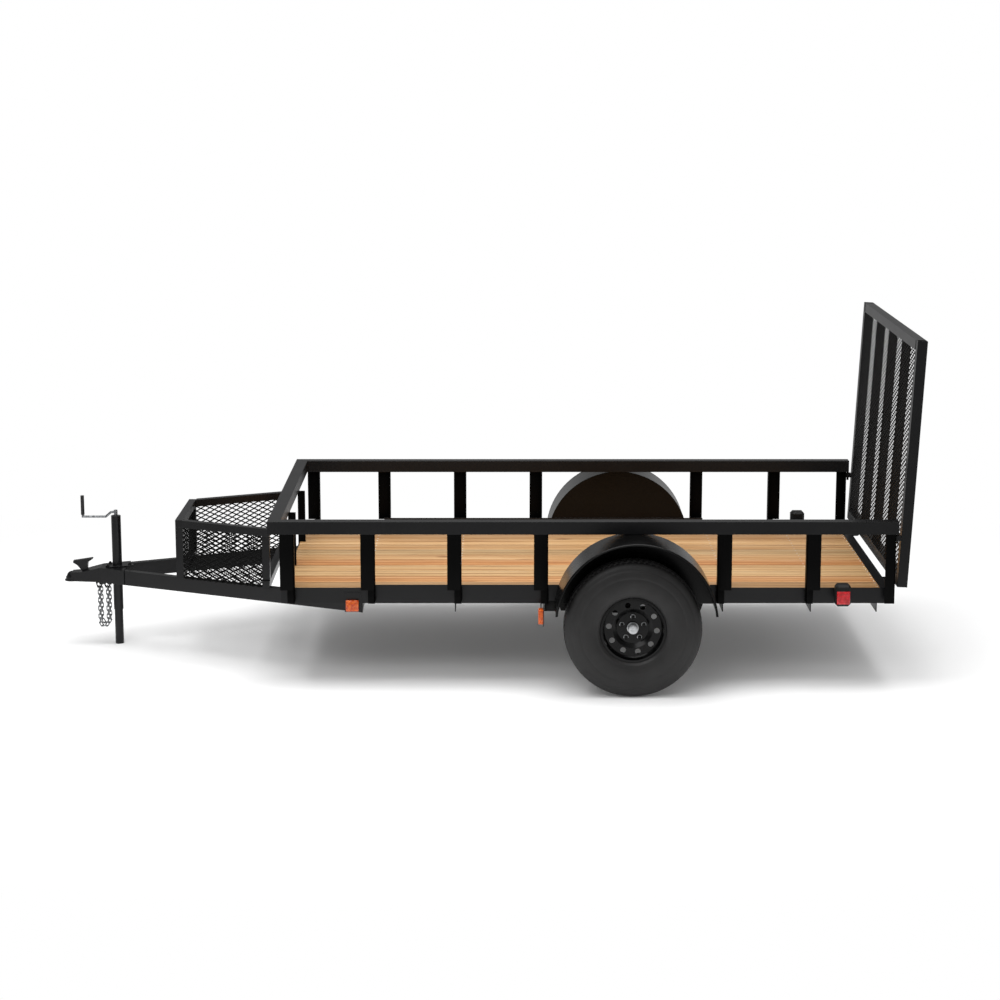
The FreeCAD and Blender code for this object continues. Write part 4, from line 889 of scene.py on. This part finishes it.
tail_low, tail_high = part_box("tail_lamps")
guard_low, guard_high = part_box("lamp_guards")
HOOD_EASED = 13 * MM
hood_x = (guard_low.x + 13 * MM, guard_high.x)
hood_y = (UPRIGHT_FACE - 2 * MM, guard_high.y - 2 * MM)
hood_z = (guard_low.z, guard_high.z - 4 * MM)
lens_x = (tail_low.x + 7 * MM, tail_high.x - 9 * MM)
lens_y = (tail_high.y - 27.5 * MM, tail_high.y - 1.5 * MM)
lens_z = (tail_low.z + 7 * MM, tail_high.z - 3 * MM)
tail_lenses = bmesh.new()
hoods = bmesh.new()
for hand in (-1, 1):
    add_sided(hoods, hand, hood_x, hood_y, hood_z, HOOD_EASED, 1)
    ribbed_lens(tail_lenses, hand, lens_x, lens_y, lens_z, 7)
finish_piece("tail_lamp_lenses", tail_lenses, "chassis", red_acrylic, ["tail_lamps"])
finish_piece("tail_lamp_hoods", hoods, "chassis", chassis_paint, ["lamp_guards"])

# %% Side markers
# each one's X from the bed's front, its Y outwards, its Z and how many ribs it has
MARKERS = [
    ((0.324, 0.388), (0.838, 0.8585), (0.384, 0.440), 6),
    ((1.285, 1.310), (0.889, 0.9395), (0.338, 0.412), 8),
]
marker_lenses = bmesh.new()
for xs, ys, zs, ribs in MARKERS:
    for hand in (-1, 1):
        ribbed_lens(marker_lenses, hand, [bed_front + x for x in xs], ys, zs, ribs)
finish_piece("marker_lamp_lenses", marker_lenses, "chassis", amber_acrylic, ["marker_lamps"])

# %% [markdown]
# ## Uprights
# The posts that carry the side rails are bent from plate. Above the frame each is an angle
# as wide as a hand. Below the frame's top, only the half that has the leg goes on, down over
# the side rail it's welded to. The two posts behind the axle are turned round, and the
# corner posts at the rear reach down whole.

# %% Stepped uprights
UPRIGHTS = (0.0355, 0.437, 0.868, 1.299, 2.212, 2.654)
UPRIGHT_HALF = 0.0355
UPRIGHT_FOOT = 0.4310
UPRIGHT_STEP = 0.4990
UPRIGHT_PLATE = 5 * MM
PLATE_EASED = 0.8 * MM
LEG_DEPTH = 50 * MM
RAIL_UNDER = 0.7835
BED_LENGTH = 3.060
REAR_POST = 0.0500


def leg_side(number):
    """One where a post's leg is at its rear edge, minus one where it is at its front edge."""
    return 1 if number < 4 else -1


posts = bmesh.new()
plate = (UPRIGHT_FACE - UPRIGHT_PLATE, UPRIGHT_FACE)
deep = (UPRIGHT_FACE - LEG_DEPTH, UPRIGHT_FACE)
whole = (UPRIGHT_FOOT, RAIL_UNDER)
above = (UPRIGHT_STEP, RAIL_UNDER)
below = (UPRIGHT_FOOT, UPRIGHT_STEP + 1 * MM)
rear = bed_front + BED_LENGTH
for hand in (-1, 1):
    for number, x in enumerate(UPRIGHTS):
        middle = bed_front + x
        edge = middle + leg_side(number) * UPRIGHT_HALF
        leg = sorted((edge, edge - leg_side(number) * UPRIGHT_PLATE))
        wide = (middle - UPRIGHT_HALF, middle + UPRIGHT_HALF)
        add_sided(posts, hand, wide, plate, above, PLATE_EASED)
        add_sided(posts, hand, sorted((middle, edge)), plate, below, PLATE_EASED)
        add_sided(posts, hand, leg, deep, whole, PLATE_EASED)
    add_sided(posts, hand, (rear - REAR_POST, rear), plate, whole, PLATE_EASED)
    add_sided(posts, hand, (rear - UPRIGHT_PLATE, rear), deep, whole, PLATE_EASED)
# the uprights get the painted-shade coat
finish_piece("stepped_uprights", posts, "chassis", shaded_black_coat, ["uprights"])

# %% [markdown]
# A gusset hangs under the side rail ahead of each wheel and steadies the fender's front foot.

# %% Fender gussets
GUSSET_X = (1.316, 1.376)
GUSSET_Y = (0.8375, 0.8435)
GUSSET_Z = (0.383, 0.4305)
gussets = bmesh.new()
for hand in (-1, 1):
    add_sided(gussets, hand, [bed_front + x for x in GUSSET_X], GUSSET_Y, GUSSET_Z, 1 * MM)
finish_piece("fender_gussets", gussets, "chassis", chassis_paint)

# %% [markdown]
# ## Bolts and welds
# The uprights are welded to the frame and under the rails. A weld by hand is a row of
# overlapping ripples, here small flattened balls a few millimetres apart. The jack's
# flange and the spring clamps are bolted.

# %% Weld beads
BEAD = 3.2 * MM
BEAD_STEP = 4.4 * MM
UNEVEN = 0.9


def add_bead(shape, start, end):
    """A row of overlapping ripples between two points."""
    start, end = Vector(start), Vector(end)
    count = max(2, int((end - start).length / BEAD_STEP))
    for k in range(count + 1):
        spot = Matrix.Translation(start.lerp(end, k / count))
        radius = BEAD * (1.0 if k % 2 else UNEVEN)
        bmesh.ops.create_icosphere(shape, subdivisions=1, radius=radius, matrix=spot)


LEG_FACES = (0.0290, 0.0370)
TOP_BEAD_Y = 0.8785
LEG_BEAD_Y = 0.8365
LEG_BEAD_Z = (0.436, 0.496)
welds = bmesh.new()
for hand in (-1, 1):
    for number, x in enumerate(UPRIGHTS):
        middle = bed_front + x
        ends = [(middle + reach, hand * TOP_BEAD_Y, RAIL_UNDER) for reach in (-UPRIGHT_HALF, UPRIGHT_HALF)]
        add_bead(welds, *ends)
        for face in LEG_FACES:
            place = middle + leg_side(number) * face
            add_bead(welds, *[(place, hand * LEG_BEAD_Y, z) for z in LEG_BEAD_Z])
finish_piece("upright_welds", welds, "chassis", frame_coat)

GATE_BEAD_X = (-0.0140, 0.0330)
BEAD_FROM, BEAD_TO = 0.004, 0.046
gate_welds = bmesh.new()
for y in (-GATE_HALF, GATE_HALF):
    for z0, z1 in ((GATE_LOW - BEAD_TO, GATE_LOW - BEAD_FROM), (GATE_HIGH + BEAD_FROM, GATE_HIGH + BEAD_TO)):
        for x in GATE_BEAD_X:
            add_bead(gate_welds, (x, y, z0), (x, y, z1))
bmesh.ops.transform(gate_welds, matrix=gate_frame, verts=gate_welds.verts)
finish_piece("gate_welds", gate_welds, "gate", frame_coat)

# %% Bolts
JACK_X = 0.953
FLANGE_TOP = 0.432
FLANGE_BOLTS = ((-0.044, -0.036), (-0.044, 0.036), (0.066, 0.0))
jack_bolts = bmesh.new()
for dx, dy in FLANGE_BOLTS:
    place = (bed_front - JACK_X + dx, dy, FLANGE_TOP)
    add_bolt(jack_bolts, place, (0, 0, 1), 13 * MM, 6 * MM)
finish_piece("jack_bolts", jack_bolts, "chassis", chassis_paint)

SPRING_Y = 0.795
CLAMP_UNDER = 0.3095
U_BOLT_X, U_BOLT_Y = 0.033, 0.0295
bolts = bmesh.new()
for hand in (-1, 1):
    for dx in (-U_BOLT_X, U_BOLT_X):
        for dy in (-U_BOLT_Y, U_BOLT_Y):
            place = (axle_x + dx, hand * SPRING_Y + dy, CLAMP_UNDER)
            add_bolt(bolts, place, (0, 0, -1), 14 * MM, 7 * MM)
finish_piece("spring_bolts", bolts, "chassis", zinc_plate)

# %% [markdown]
# ## Floor, backdrop and light
# The trailer stands in a white photo studio. The floor is matt and pale, and keeps the soft
# shadow under the deck. Farther off it turns into plain white, for the camera, and in a
# softer white for reflections too, so that bright metal has something pale to mirror. Above
# the backdrop the studio's walls are dim and only its ceiling is bright, which is what keeps
# the flat tops of black steel black. A big soft lamp hangs over the trailer, and a weaker
# one stands high in front of it.

# %% Floor
FLOOR_RADIUS = 90.0
SHADOW_REACH = 3.6
FADE_START = 0.45
FOOTPRINT = (0.62, 0.9, 1.0)
SHADOW_LIFT = 0.06
MIRROR_LEVEL = 0.45


def seen_directly(tree):
    """One for rays from the camera, from a mirror or through glass, zero for the soft light."""
    path = add(tree, "ShaderNodeLightPath")
    seen = compute(tree, "MAXIMUM", path.outputs["Is Camera Ray"], path.outputs["Is Glossy Ray"])
    return compute(tree, "MAXIMUM", seen, path.outputs["Is Transmission Ray"])


def studio_floor():
    """Matt white near the trailer, plain white beyond, for camera, mirror and glass rays."""
    material, tree, shader = new_material("studio_floor", Roughness=0.9)
    shader.inputs["Base Color"].default_value = linear("#F4F4F4")
    spot = place_of(tree)
    flat = stretched(tree, spot, FOOTPRINT)
    away = add(tree, "ShaderNodeVectorMath", {0: flat}, operation="LENGTH").outputs["Value"]
    fade = add(
        tree, "ShaderNodeMapRange",
        {"Value": away, "From Min": FADE_START * SHADOW_REACH, "From Max": SHADOW_REACH},
        interpolation_type="SMOOTHSTEP",
    ).outputs["Result"]
    share = compute(tree, "MULTIPLY", seen_directly(tree), spread(tree, fade, SHADOW_LIFT, 1.0))
    mirrored = add(tree, "ShaderNodeLightPath").outputs["Is Glossy Ray"]
    strength = spread(tree, mirrored, 1.0, MIRROR_LEVEL)
    white = add(tree, "ShaderNodeEmission", {"Color": (1, 1, 1, 1), "Strength": strength}).outputs[0]
    mix = add(tree, "ShaderNodeMixShader", {0: share, 1: shader.outputs[0], 2: white})
    tree.links.new(mix.outputs[0], tree.nodes["Material Output"].inputs["Surface"])
    return material


ground = bmesh.new()
bmesh.ops.create_circle(ground, cap_ends=True, segments=96, radius=FLOOR_RADIUS)
ground_mesh = bpy.data.meshes.new("studio_floor")
ground.to_mesh(ground_mesh)
ground.free()
ground_mesh.materials.append(studio_floor())
studio = bpy.data.objects.new("studio_floor", ground_mesh)
bpy.context.scene.collection.objects.link(studio)

# %% World and lamps
WORLD_LEVEL = 0.62
BACKDROP_TOP = 0.07
MIRRORED_BACKDROP = "#B2B2B2"
DIM_WALL = "#808080"
CEILING = "#E8E8E8"

world = bpy.data.worlds.new("studio")
world.use_nodes = True
bpy.context.scene.world = world
tree = world.node_tree
for node in list(tree.nodes):
    tree.nodes.remove(node)
direction = add(tree, "ShaderNodeTexCoord").outputs["Generated"]
height = add(tree, "ShaderNodeSeparateXYZ", {"Vector": direction}).outputs["Z"]
walls = ramp(
    tree, height, (BACKDROP_TOP, MIRRORED_BACKDROP), (2 * BACKDROP_TOP, DIM_WALL),
    (0.6, DIM_WALL), (0.95, CEILING),
)
path = add(tree, "ShaderNodeLightPath")
shade = tint(tree, path.outputs["Is Glossy Ray"], linear("#FFFFFF"), walls)
level = spread(tree, seen_directly(tree), WORLD_LEVEL, 1.0)
sky = add(tree, "ShaderNodeBackground", {"Color": shade, "Strength": level})
add(tree, "ShaderNodeOutputWorld", {"Surface": sky.outputs[0]})


def soft_lamp(name, place, target, size, power):
    """A large square lamp that points at a target."""
    data = bpy.data.lights.new(name, "AREA")
    data.shape = "RECTANGLE"
    data.size, data.size_y = size
    data.energy = power
    lamp = bpy.data.objects.new(name, data)
    lamp.location = place
    lamp.rotation_euler = (Vector(target) - Vector(place)).to_track_quat("-Z", "Y").to_euler()
    bpy.context.scene.collection.objects.link(lamp)


soft_lamp("overhead", (0.3, -0.6, 6.0), (0.1, 0.0, 0.4), (7.0, 4.0), 430)
soft_lamp("front", (-2.5, -7.0, 6.2), (0.2, 0.0, 0.6), (5.0, 3.0), 150)

# %% Finish
scene = bpy.context.scene
scene.view_settings.view_transform = "Standard"
